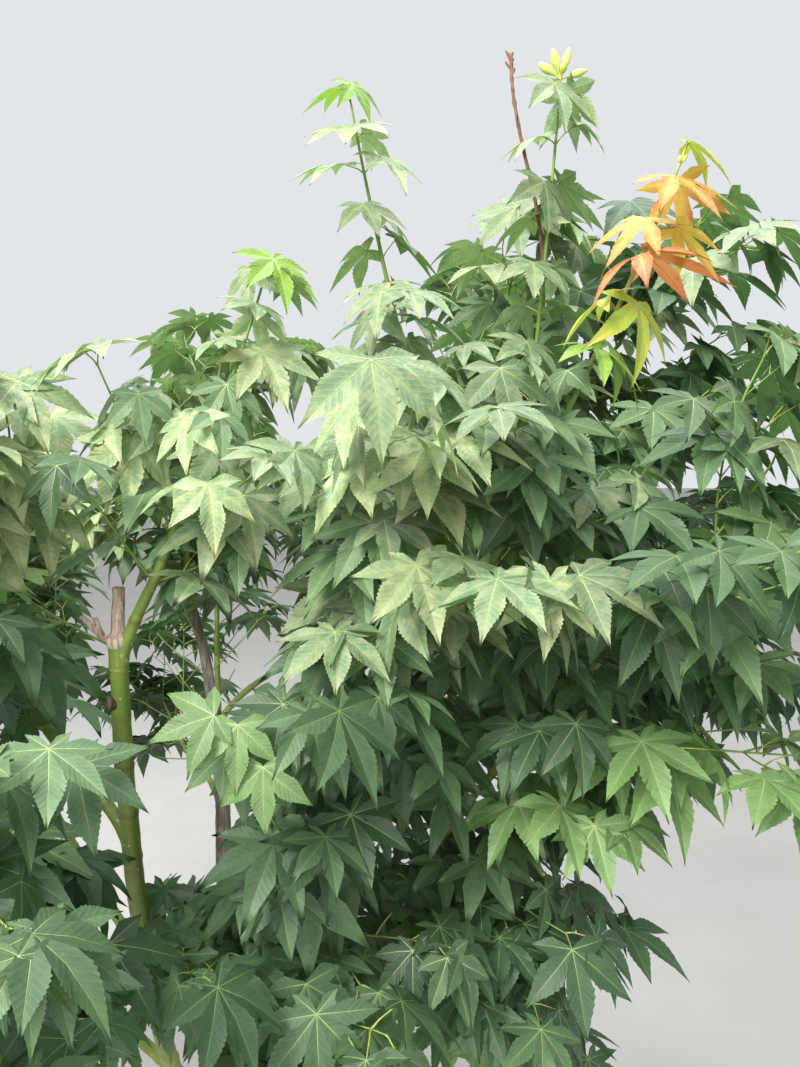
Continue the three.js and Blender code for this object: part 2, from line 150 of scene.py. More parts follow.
MISSING = 0.05  # share of the leaves that have dropped
LEAF_APART = 0.027  # between the middles of two leaves
ODD_TONE = 0.3  # share of the leaves that are paler or darker than their spray
TONE_ORDER = ["shade", "deep", "mid", "dusty", "pale"]
STALK = {
    "length": 0.036, "vary": (0.7, 1.25), "sag": 0.12, "bow": 0.35, "radius": 0.00085,
    "angle": 58, "angle_vary": 14, "tilt": 0.5, "lift": 0.3,
}
STEM_STALK = {"angle_vary": 10, "lift": 0.15}
BUDDED = "foliage_right"  # the shoot whose top has buds, and a dead twig beside it
BUDDED_TOP = 0.95
YOUNG_SHOOT = "foliage_young_shoot"
BRIGHT_TOPS = ("foliage_regrowth", "foliage_middle_high")
LIMB_CLEAR = 0.006
SPACE_SLACK = 0.045  # how far a leaf may pass the middle between two masses
BOX_SLACK = 0.008  # and the solids' box
LEAF_KINDS = 8
YOUNG_KINDS = 3  # more, with narrow lobes
MASS_POINTS = 24  # on the line of a mass
TRACE = 10  # of them, by which a place belongs to a mass
NEAR_EYE = 0.3  # from the viewpoint, without leaves
NEAR_LEAF = 0.74  # and with the finest ones
INNER_SHARE = 34  # per cent of the leaves, from the middle out, that are plainer
CROWN_MIDDLE_HEIGHT = 1.15
CROWN_HALF = np.array([0.85, 0.8, 0.7])
MOST_TRIANGLES = 180_000
# The parts of the crown that stay bare, each a line's two ends and the distance from it: the shaded
# inside below the middle, and the surroundings of the dead stub
OPEN_PLACES = [
    [(0.02, -0.08, 1.08), (-0.13, 0.43, 0.96), 0.15],
    [(0.036, -0.414, 1.29), (0.115, -0.63, 1.34), 0.055],
]
# The camera's place, its pitch downwards and its lens
EYE = np.array([0.30, -1.15, 1.45])
PITCH = 5.9
LENS = 27.06

MASK = 0xFFFFFFFF


# Numbers from 0 to 1 that follow from the seed alone, the same as in the solids' source
def seeded(seed):
    state = seed & MASK

    def draw():
        nonlocal state
        state = (state + 0x6D2B79F5) & MASK
        mixed = ((state ^ (state >> 15)) * (state | 1)) & MASK
        mixed ^= (mixed + (((mixed ^ (mixed >> 7)) * (mixed | 61)) & MASK)) & MASK
        return ((mixed ^ (mixed >> 14)) & MASK) / 4294967296

    return draw


def lerp(a, b, share):
    return a + (b - a) * share


def unit(vector):
    return vector / max(1e-9, norm(vector))


def place(spot):
    azimuth, distance, height = spot
    angle = radians(azimuth)
    return np.array([distance * cos(angle), distance * sin(angle), height]) * MM


def leaning(azimuth, lean):
    return unit(place([azimuth, 1000 * sin(radians(lean)), 1000 * cos(radians(lean))]))


def towards(azimuth, rise):
    """The direction that rises so far over 1000"""
    return unit(place([azimuth, 1000, rise]))


def level_of(vector):
    return unit(np.array([vector[0], vector[1], 0.0]) + 1e-9)


def turned(vector, axis, angle):
    """vector turned about a unit axis by an angle in radians"""
    along_axis = axis * np.dot(axis, vector) * (1 - cos(angle))
    return vector * cos(angle) + np.cross(axis, vector) * sin(angle) + along_axis


def limb_curve(start, leave, tip, arrive):
    handle = norm(tip - start) / 3
    return np.array([start, start + leave * handle, tip - arrive * handle, tip])


def point_on(corners, t):
    t = np.asarray(t, dtype=float)[..., None]
    s = 1 - t
    return s**3 * corners[0] + 3 * s * s * t * corners[1] + 3 * s * t * t * corners[2] + t**3 * corners[3]


def heading_on(corners, t):
    s = 1 - t
    first, second, third = np.diff(corners, axis=0)
    return unit(s * s * first + 2 * s * t * second + t * t * third)


def spaced(corners, steps):
    """Points at equal distances along a curve"""
    fine = point_on(corners, np.linspace(0, 1, 201))
    run = np.concatenate([[0], np.cumsum(norm(np.diff(fine, axis=0), axis=1))])
    wanted = np.linspace(0, run[-1], steps + 1)
    return np.stack([np.interp(wanted, run, fine[:, k]) for k in range(3)], axis=1)


def along_points(points, share):
    """The place at a share of a line of equally spaced points, and its heading there"""
    spot = min(max(share, 0.0), 1.0) * (len(points) - 1)
    index = min(int(spot), len(points) - 2)
    step = points[index + 1] - points[index]
    return points[index] + step * (spot - index), unit(step)


# Meshes: every maker gives (points, triangles)
def round_angles(count):
    return np.arange(count) * 2 * pi / count


def around(side, third, count):
    """Directions round a line, or round each point of a line, from a side towards a third"""
    angles = round_angles(count)[:, None]
    return side[..., None, :] * np.cos(angles) + third[..., None, :] * np.sin(angles)


def beside(way):
    return np.cross(way, UP if abs(way[2]) < 0.9 else ALONG_X)


def ring_frames(points):
    """A side and a third direction at each point of a line, carried along it without twist"""
    tangents = np.gradient(points, axis=0)
    tangents /= norm(tangents, axis=1)[:, None]
    side = beside(tangents[0])
    sides = []
    for tangent in tangents:
        side = unit(side - tangent * np.dot(side, tangent))
        sides.append(side)
    sides = np.array(sides)
    return sides, np.cross(tangents, sides)


def wall_faces(rings, count):
    """Triangles between rings of points, which stand ring after ring"""
    here = np.arange(count)
    rows = count * np.arange(rings - 1)[:, None]
    a, b = (rows + here).ravel(), (rows + (here + 1) % count).ravel()
    return np.concatenate([np.stack([a, b, b + count], 1), np.stack([a, b + count, a + count], 1)])


def fan_faces(first, count, middle):
    """Triangles from a ring, whose points start at first, to the point in its middle"""
    here = np.arange(count)
    return np.stack([first + here, first + (here + 1) % count, np.full(count, middle)], 1)


def tube_faces(rings, count):
    """Triangles of rings of points with one more point that closes the last"""
    end = fan_faces(count * (rings - 1), count, count * rings)
    return np.concatenate([wall_faces(rings, count), end])


def tube(points, radii, count):
    """A round tube along points. radii is a number for each point, or for each point and side."""
    reach = radii[:, None, None] if radii.ndim == 1 else radii[..., None]
    ring = points[:, None] + reach * around(*ring_frames(points), count)
    return np.concatenate([ring.reshape(-1, 3), points[-1:]]), tube_faces(len(points), count)


def joined(parts):
    """Many (points, triangles) as one"""
    starts = np.cumsum([0] + [len(spots) for spots, _ in parts])
    faces = [corners + start for (_, corners), start in zip(parts, starts)]
    return np.concatenate([spots for spots, _ in parts]), np.concatenate(faces)


def repeated(points, faces):
    """A small mesh at many places as one, from its points at each place and its triangles"""
    shifts = points.shape[1] * np.arange(len(points))[:, None, None]
    return points.reshape(-1, 3), (faces + shifts).reshape(-1, 3)


def flat(values, kind):
    return np.ascontiguousarray(values, dtype=kind).ravel()


def add_piece(name, spots, faces, material, slot, nodes, blade=None, shade=None):
    """A mesh from arrays. blade is a UV pair and shade a number for each point."""
    mesh = bpy.data.meshes.new(name)
    mesh.vertices.add(len(spots))
    mesh.vertices.foreach_set("co", flat(spots, np.float32))
    mesh.loops.add(3 * len(faces))
    corners = flat(faces, np.int32)
    mesh.loops.foreach_set("vertex_index", corners)
    mesh.polygons.add(len(faces))
    mesh.polygons.foreach_set("loop_start", np.arange(0, 3 * len(faces), 3, dtype=np.int32))
    mesh.update(calc_edges=True)
    mesh.shade_smooth()
    if blade is not None:
        mesh.uv_layers.new(name="blade").data.foreach_set("uv", flat(blade[corners], np.float32))
    if shade is not None:
        values = mesh.attributes.new("shade", "FLOAT", "POINT")
        values.data.foreach_set("value", flat(shade, np.float32))
    mesh.materials.append(material)
    piece = bpy.data.objects.new(name, mesh)
    bpy.context.scene.collection.objects.link(piece)
    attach(piece, "root")
    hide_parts(*nodes)


# Materials
class Nodes:
    """A short way to build a node tree"""

    def __init__(self, name):
        self.material = bpy.data.materials.new(name)
        self.material.use_nodes = True
        self.tree = self.material.node_tree
        self.shader = self.tree.nodes["Principled BSDF"]

    def add(self, kind, inputs=(), **settings):
        node = self.tree.nodes.new(kind)
        for key, value in settings.items():
            setattr(node, key, value)
        for socket, value in dict(inputs).items():
            self.feed(node.inputs[socket], value)
        return node

    def feed(self, socket, value):
        if isinstance(value, bpy.types.NodeSocket):
            self.tree.links.new(value, socket)
        else:
            socket.default_value = value

    def math(self, operation, *values):
        return self.add("ShaderNodeMath", enumerate(values), operation=operation).outputs[0]

    def times(self, first, second):
        return self.math("MULTIPLY", first, second)

    def mix(self, share, first, second):
        return self.add("ShaderNodeMix", {0: share, 6: first, 7: second}, data_type="RGBA").outputs[2]

    def over(self, base, colour, share, strength):
        """A colour laid over base by a share, and at most by a strength"""
        return self.mix(self.times(share, strength), base, colour)

    def ramp(self, value, low, high):
        return self.add("ShaderNodeMapRange", {"Value": value, "From Min": low, "From Max": high}).outputs[0]

    def noise(self, vector, scale, detail=3.0, rough=0.55):
        values = {"Vector": vector, "Scale": scale, "Detail": detail, "Roughness": rough}
        return self.add("ShaderNodeTexNoise", values).outputs[0]

    def place(self, *scale):
        coords = self.add("ShaderNodeTexCoord").outputs["Object"]
        return self.add("ShaderNodeMapping", {"Vector": coords, "Scale": scale or (1, 1, 1)}).outputs[0]

    def shade(self):
        return self.add("ShaderNodeAttribute", attribute_name="shade").outputs["Fac"]

    def dress(self, colour, rough, height=None, strength=0.0, depth=0.0):
        """The material with a colour and a roughness, and a bump where a height is given"""
        self.feed(self.shader.inputs["Base Color"], colour)
        self.shader.inputs["Roughness"].default_value = rough
        if height is not None:
            bump = self.add("ShaderNodeBump", {"Height": height, "Strength": strength, "Distance": depth})
            self.feed(self.shader.inputs["Normal"], bump.outputs[0])
        return self.material


def rgba(colour, gain=1.0):
    return (*[min(1.0, gain * channel) for channel in colour], 1.0)


LEAF_NOISE = {"mottle": 75.0, "patches": 16.0, "grain": 260.0, "flush": 38.0}
SIDE_VEINS = {"slant": 1.1, "rows": 13.0, "width": 0.07}
DRY_TIP = (0.300, 0.180, 0.075)
PORE = (0.60, 0.60, 0.40)
LEAF_SCAR = (0.13, 0.085, 0.035)


def leaf_material(name, colour, light, glow, spots=0.5, through=0.24, tip=None):
    """A leaf: mottled between two tones, paler at its side veins, rim and tip, darker or lighter from
    leaf to leaf, and with light that comes through in a colour of its own. A young leaf turns to its
    tip's colour, and of the others some have a dry tip."""
    n = Nodes(name)
    where = n.place()
    mottle = n.ramp(n.noise(where, LEAF_NOISE["mottle"], 4.0, 0.65), 0.44, 0.62)
    patches = n.ramp(n.noise(where, LEAF_NOISE["patches"], 2.0), 0.42, 0.62)
    grain = n.ramp(n.noise(where, LEAF_NOISE["grain"], 3.0, 0.7), 0.38, 0.66)
    shade = n.shade()
    blade = n.add("ShaderNodeUVMap", uv_map="blade").outputs[0]
    run, off = n.add("ShaderNodeSeparateXYZ", {"Vector": blade}).outputs[:2]
    off_rib = n.math("ABSOLUTE", off)
    slanted = n.math("SUBTRACT", run, n.times(off_rib, SIDE_VEINS["slant"]))
    row = n.math("FRACT", n.times(slanted, SIDE_VEINS["rows"]))
    from_vein = n.math("ABSOLUTE", n.math("SUBTRACT", row, 0.5))
    base = n.over(rgba(colour), rgba(light), mottle, spots)
    base = n.over(base, rgba(light), patches, 0.3)
    base = n.over(base, rgba(colour, 0.62), grain, 0.28)
    base = n.over(base, rgba(light, 1.25), n.math("LESS_THAN", from_vein, SIDE_VEINS["width"]), 0.34)
    if tip:
        flush = n.times(n.ramp(n.noise(where, LEAF_NOISE["flush"]), 0.43, 0.57), n.ramp(off_rib, 0.0, 0.09))
        to_tip = n.math("MAXIMUM", n.ramp(run, 0.42, 0.86), n.times(flush, 0.85))
        base = n.over(base, rgba(tip), to_tip, 0.9)
    else:
        base = n.over(base, rgba(light, 1.15), n.ramp(off_rib, 0.105, 0.165), 0.4)
        base = n.over(base, rgba(light, 1.3), n.ramp(run, 0.62, 1.0), 0.5)
    base = n.over(base, rgba(light, 1.1), n.ramp(off_rib, 0.05, 0.0), 0.3)
    if not tip:
        dry = n.times(n.math("GREATER_THAN", shade, 0.8), n.ramp(run, 0.93, 0.98))
        base = n.over(base, rgba(DRY_TIP), dry, 0.8)
    value = n.ramp(shade, -0.9, 0.55)
    tone = n.add("ShaderNodeHueSaturation", {"Color": base, "Value": value}).outputs[0]
    n.dress(tone, 0.48, n.math("ADD", from_vein, n.times(grain, 0.3)), 0.2, 0.0012)
    n.shader.inputs["Specular IOR Level"].default_value = 0.4
    behind = n.add("ShaderNodeBsdfTranslucent", {"Color": n.mix(0.7, tone, rgba(glow))})
    both = n.add("ShaderNodeMixShader", {0: through, 1: n.shader.outputs[0], 2: behind.outputs[0]})
    n.feed(n.tree.nodes["Material Output"].inputs["Surface"], both.outputs[0])
    return n.material


def plain_growth(name, colour, light, rough=0.5, scale=90.0):
    """Stalks, veins and twigs: two close tones in streaks"""
    n = Nodes(name)
    streak = n.ramp(n.noise(n.place(1, 1, 0.4), scale), 0.35, 0.65)
    return n.dress(n.mix(streak, rgba(colour), rgba(light)), rough)


def green_bark(name, colour, light, brown):
    """Smooth green bark with olive patches, pale pores and fine furrows"""
    n = Nodes(name)
    where = n.place()
    base = n.mix(n.ramp(n.noise(where, 22.0, 4.0, 0.6), 0.42, 0.66), rgba(colour), rgba(light))
    base = n.over(base, rgba(brown), n.ramp(n.noise(where, 7.0), 0.5, 0.72), 0.7)
    cells = n.add("ShaderNodeTexVoronoi", {"Vector": n.place(1, 1, 0.55), "Scale": 190.0})
    sparse = n.math("GREATER_THAN", n.noise(where, 85.0, 1.0), 0.52)
    pore = n.times(n.ramp(cells.outputs["Distance"], 0.2, 0.12), sparse)
    base = n.over(base, rgba(PORE), pore, 0.9)
    base = n.over(base, rgba(LEAF_SCAR), n.shade(), 0.65)
    furrows = n.noise(n.place(1, 1, 0.16), 420.0)
    return n.dress(base, 0.52, n.math("ADD", n.times(furrows, 0.35), pore), 0.5, 0.0012)


def grey_bark(name, dark, mid, pale):
    """Grey-brown bark with upright cracks and pale scurf"""
    n = Nodes(name)
    upright = n.place(1, 1, 0.18)
    streak = n.noise(upright, 90.0, 6.0, 0.62)
    base = n.mix(n.ramp(streak, 0.34, 0.64), rgba(dark), rgba(mid))
    base = n.over(base, rgba(pale), n.ramp(n.noise(n.place(), 34.0, 5.0, 0.7), 0.52, 0.7), 0.65)
    cells = n.add("ShaderNodeTexVoronoi", {"Vector": upright, "Scale": 120.0}, feature="DISTANCE_TO_EDGE")
    crack = n.ramp(cells.outputs["Distance"], 0.0, 0.12)
    return n.dress(base, 0.88, n.math("ADD", n.times(crack, 0.6), n.times(streak, 0.8)), 0.8, 0.003)


# The tones that a spray of leaves may have: its colour, its paler mottling and the light through it,
# then for green leaves how strong the mottling and that light are, for young ones the tip's colour
GREEN_LEAVES = {
    "shade": [(0.046, 0.096, 0.048), (0.080, 0.142, 0.070), (0.10, 0.30, 0.05)],
    "deep": [(0.068, 0.130, 0.064), (0.118, 0.190, 0.092), (0.15, 0.38, 0.06)],
    "mid": [(0.106, 0.190, 0.096), (0.186, 0.274, 0.128), (0.20, 0.44, 0.07)],
    "dusty": [(0.138, 0.228, 0.126), (0.345, 0.392, 0.215), (0.26, 0.50, 0.10), 0.75],
    "pale": [(0.200, 0.318, 0.168), (0.500, 0.545, 0.280), (0.34, 0.58, 0.14), 0.85],
    "fresh": [(0.145, 0.265, 0.100), (0.250, 0.365, 0.150), (0.28, 0.60, 0.07)],
    "bright": [(0.190, 0.370, 0.050), (0.320, 0.480, 0.090), (0.34, 0.60, 0.06), 0.5, 0.3],
}
YOUNG_LEAVES = {
    "lime": [(0.360, 0.520, 0.060), (0.520, 0.610, 0.100), (0.56, 0.72, 0.10), (0.640, 0.560, 0.110)],
    "yellow": [(0.620, 0.560, 0.095), (0.700, 0.610, 0.150), (0.86, 0.74, 0.12), (0.700, 0.250, 0.120)],
    "orange": [(0.680, 0.520, 0.085), (0.740, 0.560, 0.130), (0.90, 0.60, 0.10), (0.720, 0.150, 0.085)],
    "red": [(0.740, 0.330, 0.100), (0.780, 0.420, 0.130), (0.92, 0.32, 0.12), (0.700, 0.085, 0.065)],
}
LEAF_TONES = {tone: leaf_material("leaf_" + tone, *look) for tone, look in GREEN_LEAVES.items()}
YOUNG_TONES = {
    tone: leaf_material("young_" + tone, *look, through=0.3, tip=tip)
    for tone, (*look, tip) in YOUNG_LEAVES.items()
}
# The share of the young shoot's height above which each tone starts
YOUNG_BANDS = [
    (0.98, "lime"), (0.90, "orange"), (0.82, "yellow"), (0.73, "red"), (0.60, "lime"), (0.5, "bright"),
]
# What makes a spray bright, which apart from its luck is painted light and shade, and the brightness above
# which it is pale, dusty and so on, down to the shade
BRIGHT = {"height": 0.85, "sun": 0.5, "outer": 0.3, "luck": 0.4}
TONE_FROM = [(0.8, "pale"), (0.56, "dusty"), (0.34, "mid")]
DEEP_FROM = -0.04
FRESH_CHANCE = 0.06
# Painted shade low down turns to painted light high up between these heights; the sun side is where the
# painted sunlight comes from
SHADE_BELOW, PALE_ABOVE = 0.98, 1.5  # heights between which the leaves turn from dark to pale
SUN_SIDE, SUN_REACH = np.array([-0.90, -0.44, 0.0]), 0.6
# Masses in the shade of others, and how much darker their leaves are painted: painted shade
SHADED = {
    "foliage_front_low": 0.42,
    "foliage_front_left_low": 0.3,
    "foliage_front_left": 0.12,
    "foliage_front_left_high": 0.14,
    "foliage_regrowth": 0.16,
    "foliage_crown_middle": 0.06,
    "foliage_left_middle": 0.12,
    "foliage_left": 0.12,
    "foliage_right_front": 0.12,
}
# Darker veins go with the darker tones, which are mostly painted shade, so they carry that painted shade too
VEINS = {
    "dark": plain_growth("vein_dark", (0.17, 0.27, 0.10), (0.25, 0.35, 0.13)),
    "pale": plain_growth("vein_pale", (0.29, 0.41, 0.16), (0.38, 0.48, 0.21)),
}
DARK_TONES = ("shade", "deep")
STALK_SKIN = plain_growth("leaf_stalk", (0.26, 0.36, 0.07), (0.44, 0.47, 0.12))
YOUNG_STALK_SKIN = plain_growth("young_stalk", (0.48, 0.13, 0.07), (0.42, 0.26, 0.08))
YOUNG_STEM = plain_growth("young_stem", (0.20, 0.30, 0.06), (0.36, 0.34, 0.10))
TWIG_BARK = plain_growth("twig_bark", (0.125, 0.225, 0.040), (0.240, 0.330, 0.075), 0.55, 40.0)
STEM_BARK = green_bark("stem_bark", (0.140, 0.225, 0.032), (0.230, 0.310, 0.065), (0.190, 0.160, 0.060))
OLIVE_BARK = green_bark("olive_bark", (0.200, 0.225, 0.050), (0.290, 0.290, 0.085), (0.270, 0.190, 0.085))
TRUNK_BARK = grey_bark("trunk_bark", (0.085, 0.070, 0.055), (0.210, 0.185, 0.155), (0.360, 0.345, 0.310))
DEAD_WOOD = grey_bark("dead_wood", (0.330, 0.200, 0.145), (0.680, 0.560, 0.470), (0.820, 0.760, 0.680))
JOINT_BARK = green_bark("joint_bark", (0.190, 0.270, 0.085), (0.360, 0.420, 0.230), (0.180, 0.170, 0.060))
SCAR_BARK = grey_bark("scar_bark", (0.060, 0.042, 0.028), (0.210, 0.160, 0.110), (0.400, 0.350, 0.270))
BUD_SKIN = plain_growth("bud_skin", (0.42, 0.52, 0.060), (0.66, 0.70, 0.18), 0.4)
DEAD_TWIG_BARK = grey_bark("dead_twig_bark", (0.12, 0.052, 0.032), (0.26, 0.12, 0.078), (0.40, 0.25, 0.18))

# Limbs. The relief of their bark is its depth, how far it is drawn out along them, and how fine it is.
RELIEF = {
    "trunk": [0.0016, 0.22, 70.0],
    "limb": [0.0007, 0.4, 60.0],
    "mark": [0.0007, 0.4, 210.0],
    "snag": [0.0006, 0.3, 260.0],
    "dead_twig": [0.0003, 0.5, 300.0],
}
BARK_NOISE = (0.8, 2.1, 4)  # its exponent, lacunarity and octaves
TRUNK_RINGS, TRUNK_SIDES = 240, 60
STEM_SIDES, BOUGH_SIDES = 22, 14
OLIVE_STEMS = ("right", "back_right")
STEM_SEED, BOUGH_SEED = 7, 31
LIMB_RING_STEP = 0.0045
LIMB_NODES = {"first": 0.05, "step": (0.05, 0.07), "last": 0.02, "width": 0.0032, "scar_width": 0.0014}
NODE_SWELL = 0.11
LIMB_FOOT = {"swell": 0.5, "reach": 0.012}
trunk_corners = np.array(TRUNK_CORNERS) * MM
limb_lines = []  # (points, radii) of each limb, which leaves stay clear of
masses = []
stem_curves = {}


def trunk_radius(height, share, angle):
    foot = np.exp(-height / (TRUNK["flare_height"] * MM))
    swell = 1 + TRUNK["depth"] * foot * np.cos(TRUNK["buttresses"] * angle)
    plain = lerp(TRUNK["foot_radius"], TRUNK["tip_radius"], share**0.85) + TRUNK["flare"] * foot
    return plain * MM * swell


def relief(look, spots, axes, radii):
    """Points pushed out from or in to their axis by noise drawn out along it"""
    depth, stretch, scale = RELIEF[look]
    moved = np.empty_like(spots)
    for index, (spot, way) in enumerate(zip(spots, spots - axes)):
        seen = Vector((spot[0] * scale, spot[1] * scale, spot[2] * scale * stretch))
        push = noise.fractal(seen, *BARK_NOISE) * depth
        moved[index] = spot + way / max(1e-6, radii[index]) * push
    return moved


def limb_mesh(look, points, radii, count):
    spots, faces = tube(points, radii, count)
    reach = np.repeat(radii if np.ndim(radii) == 1 else radii.mean(axis=1), count)
    body = relief(look, spots[:-1], np.repeat(points, count, axis=0), reach)
    return np.concatenate([body, spots[-1:]]), faces


def add_trunk():
    shares = np.linspace(0, 1, TRUNK_RINGS + 1)
    points = point_on(trunk_corners, shares)
    radii = trunk_radius(points[:, 2:3], shares[:, None], round_angles(TRUNK_SIDES))
    spots, faces = limb_mesh("trunk", points, radii, TRUNK_SIDES)
    spots[:TRUNK_SIDES, 2] = 0.0
    spots[:, 2] = np.maximum(spots[:, 2], 0.0)
    under = fan_faces(0, TRUNK_SIDES, len(spots))[:, [1, 0, 2]]
    spots = np.concatenate([spots, [[0.0, 0.0, 0.0]]])
    limb_lines.append((points[::6], radii.mean(axis=1)[::6]))
    add_piece("bark_trunk", spots, np.concatenate([faces, under]), TRUNK_BARK, "grey_bark", ["trunk"])


def node_swell(run, length, first, step, width):
    """How much a limb swells at its leaf scars, from 0 to 1, at each distance along it"""
    swell = np.zeros_like(run)
    spot = first
    while spot < length - LIMB_NODES["last"]:
        swell = np.maximum(swell, np.exp(-(((run - spot) / width) ** 2)))
        spot += step
    return swell


def add_limb(name, corners, from_radius, to_radius, count, stem, seed):
    """A stem or bough in green bark, swollen at its leaf scars and at its foot"""
    length = norm(np.diff(point_on(corners, np.linspace(0, 1, 60)), axis=0), axis=1).sum()
    shares = np.linspace(0, 1, int(length / LIMB_RING_STEP) + 1)
    points = point_on(corners, shares)
    run = shares * length
    nodes = (run, length, LIMB_NODES["first"], lerp(*LIMB_NODES["step"], seeded(seed)()))
    swell = 1 + NODE_SWELL * node_swell(*nodes, LIMB_NODES["width"])
    foot = 1 + LIMB_FOOT["swell"] * np.exp(-run / LIMB_FOOT["reach"])
    radii = lerp(from_radius * MM, to_radius * MM, shares) * swell * foot
    limb_lines.append((points[::4], radii[::4]))
    spots, faces = limb_mesh("limb", points, radii, count)
    ring = np.append(np.repeat(node_swell(*nodes, LIMB_NODES["scar_width"]), count), 0.0)
    bark = OLIVE_BARK if stem in OLIVE_STEMS else STEM_BARK
    add_piece("bark_" + name, spots, faces, bark, "green_bark", [name], shade=ring)


def add_mass(name, limb, end, spread, start_radius):
    goal = place(end)
    arrive = unit(unit(goal - limb[3]) + UP * STEM_RISE)
    slender = name in SLENDER["names"]
    masses.append(
        {
            "name": "foliage_" + name,
            "seed": 101 * (len(masses) + 1),
            "line": spaced(limb_curve(limb[3], heading_on(limb, 1.0), goal, arrive), MASS_POINTS),
            "spread": spread * MM,
            "radius": start_radius * MM,
            "slender": slender,
            "shortening": (SLENDER if slender else TWIG)["shortening"],
            "limb": limb,
        }
    )


add_trunk()
for order, (name, (at, leave, tip, end, radius)) in enumerate(STEMS.items()):
    tip = place(tip)
    arrive = unit(place(end) - tip) if end else UP
    curve = limb_curve(point_on(trunk_corners, at), leaning(*leave), tip, arrive)
    stem_curves[name] = curve
    tip_radius = TIP_RADIUS if end else PRUNED_TIP_RADIUS
    add_limb("stem_" + name, curve, radius, tip_radius, STEM_SIDES, name, STEM_SEED + order)
    if end:
        add_mass(name, curve, end, STEM_SPREAD, tip_radius)

for order, (name, (stem, at, tip, end, spread)) in enumerate(BOUGHS.items()):
    parent = stem_curves[stem]
    start, tip = point_on(parent, at), place(tip)
    leave = unit(heading_on(parent, at) + unit(tip - start))
    curve = limb_curve(start, leave, tip, unit(place(end) - tip))
    add_limb("bough_" + name, curve, BOUGH_RADIUS, TIP_RADIUS, BOUGH_SIDES, stem, BOUGH_SEED + order)
    add_mass(name, curve, end, spread, TIP_RADIUS)
add_mass("crown_middle", trunk_corners, CROWN_END, STEM_SPREAD, TRUNK["tip_radius"])
order_of = {mass["name"]: order for order, mass in enumerate(masses)}

# What pruning left on the cut stem, in millimetres, with heights above the ground. A profile is pairs
# of a distance and a radius, and a snag its azimuth, its rise in 1000, its length and its radius.
STUB_PROFILE = [
    (-9, 8.9), (-6, 9.9), (-2, 10.6), (1, 10.0), (3, 7.4), (6, 6.4),
    (16, 6.1), (28, 5.7), (40, 5.6), (47, 5.5), (48, 4.6), (44, 3.2),
]
SNAG = {"points": 9, "sides": 12, "rise": 0.15, "tip": 0.72}
# Places from the stem's cut end, and the snags there
STUB_SNAGS = [
    [[-170, 9, -2], [0, 0, 0], (-176, 820, 30, 3.6)],
    [[-170, 9, -2], [-160, 5, 6], (150, 1500, 15, 2.8)],
    [[20, 8, 3], [0, 0, 0], (25, 900, 11, 4.2)],
]
KNOT = [1214, -148, 8.4, [(-3, 7.6), (1, 7.2), (3.4, 6.3), (4.4, 5.0), (3.2, 3.4), (-0.5, 2.2)], 18]
SCAR = [1100, -140, 8.4, [(-2, 5.6), (0.8, 5.0), (1.6, 3.6), (0.6, 1.6)], 18]
RING_HEIGHT = 1156
BEAD = [(-1, 1.9), (0.7, 1.5), (1.2, 0.7)]
RING_BEADS = [[RING_HEIGHT, azimuth, 9.0, BEAD, 8] for azimuth in (-100, 170, 0, 40)]
STEM_SNAGS = [["pruned", RING_HEIGHT, 10, (450, 18, 1.1)], ["front", 1055, 150, (600, 22, 2.4)]]
JOINT_PROFILE = [(-3, 6.4), (1.4, 5.8), (2.8, 3.8), (3.2, 1.6)]
JOINT_PLACES = [(1256, 4), (1261, -14), (1268, 12), (1270, -28)]
JOINT_LUMPS = [[height, azimuth, 6.5, JOINT_PROFILE, 18] for height, azimuth in JOINT_PLACES]


def lathed(spot, way, profile, count):
    """A form turned round the line from spot along way. profile is (distance, radius) pairs."""
    side = unit(beside(way))
    out = around(side, np.cross(way, side), count)
    rings = [spot + way * run * MM + out * radius * MM for run, radius in profile]
    spots = np.concatenate([*rings, [spot + way * profile[-1][0] * MM]])
    axes = spot + way * ((spots - spot) @ way)[:, None]
    reach = np.maximum(norm(spots - axes, axis=1), 0.001)
    return relief("mark", spots, axes, reach), tube_faces(len(profile), count)


def snag(root, azimuth, rise, length, radius):
    """A short broken twig, its length and radius in millimetres"""
    share = np.linspace(0, 1, SNAG["points"])
    bent = towards(azimuth, rise) * share[:, None] + UP * SNAG["rise"] * share[:, None] ** 2
    radii = radius * MM * lerp(1, SNAG["tip"], share)
    return limb_mesh("snag", root + bent * length * MM, radii, SNAG["sides"])


def on_stem(stem, height, azimuth, radius):
    """A place on a stem's surface at a height in millimetres, and the direction out from it"""
    corners = stem_curves[stem]
    shares = np.linspace(0, 1, 400)
    share = float(np.interp(height * MM, point_on(corners, shares)[:, 2], shares))
    way = towards(azimuth, 0)
    return point_on(corners, share) + way * radius * MM, way


def stem_marks(rows):
    return [lathed(*on_stem("pruned", *spot), profile, count) for *spot, profile, count in rows]


# The dead stub with the snags beside it, the knot, scar, ring and snags on the stems, and the swollen,
# pale and cracked bark where the side shoot leaves
cut_end = stem_curves["pruned"][3]
stub = [lathed(cut_end, leaning(0, STUB_LEAN), STUB_PROFILE, 26)]
for first, then, (azimuth, rise, length, radius) in STUB_SNAGS:
    stub.append(snag(cut_end + place(first) + place(then), azimuth, rise, length, radius))
add_piece("dead_stub_wood", *joined(stub), DEAD_WOOD, "dead_wood", ["dead_stub"])
marks = stem_marks([KNOT, SCAR, *RING_BEADS])
for stem, height, azimuth, (rise, length, radius) in STEM_SNAGS:
    marks.append(snag(on_stem(stem, height, azimuth, 8.0)[0], azimuth, rise, length, radius))
add_piece("stem_marks", *joined(marks), SCAR_BARK, "green_bark", ["stem_pruned", "stem_front"])
add_piece("joint_lumps", *joined(stem_marks(JOINT_LUMPS)), JOINT_BARK, "green_bark", ["stem_pruned"])

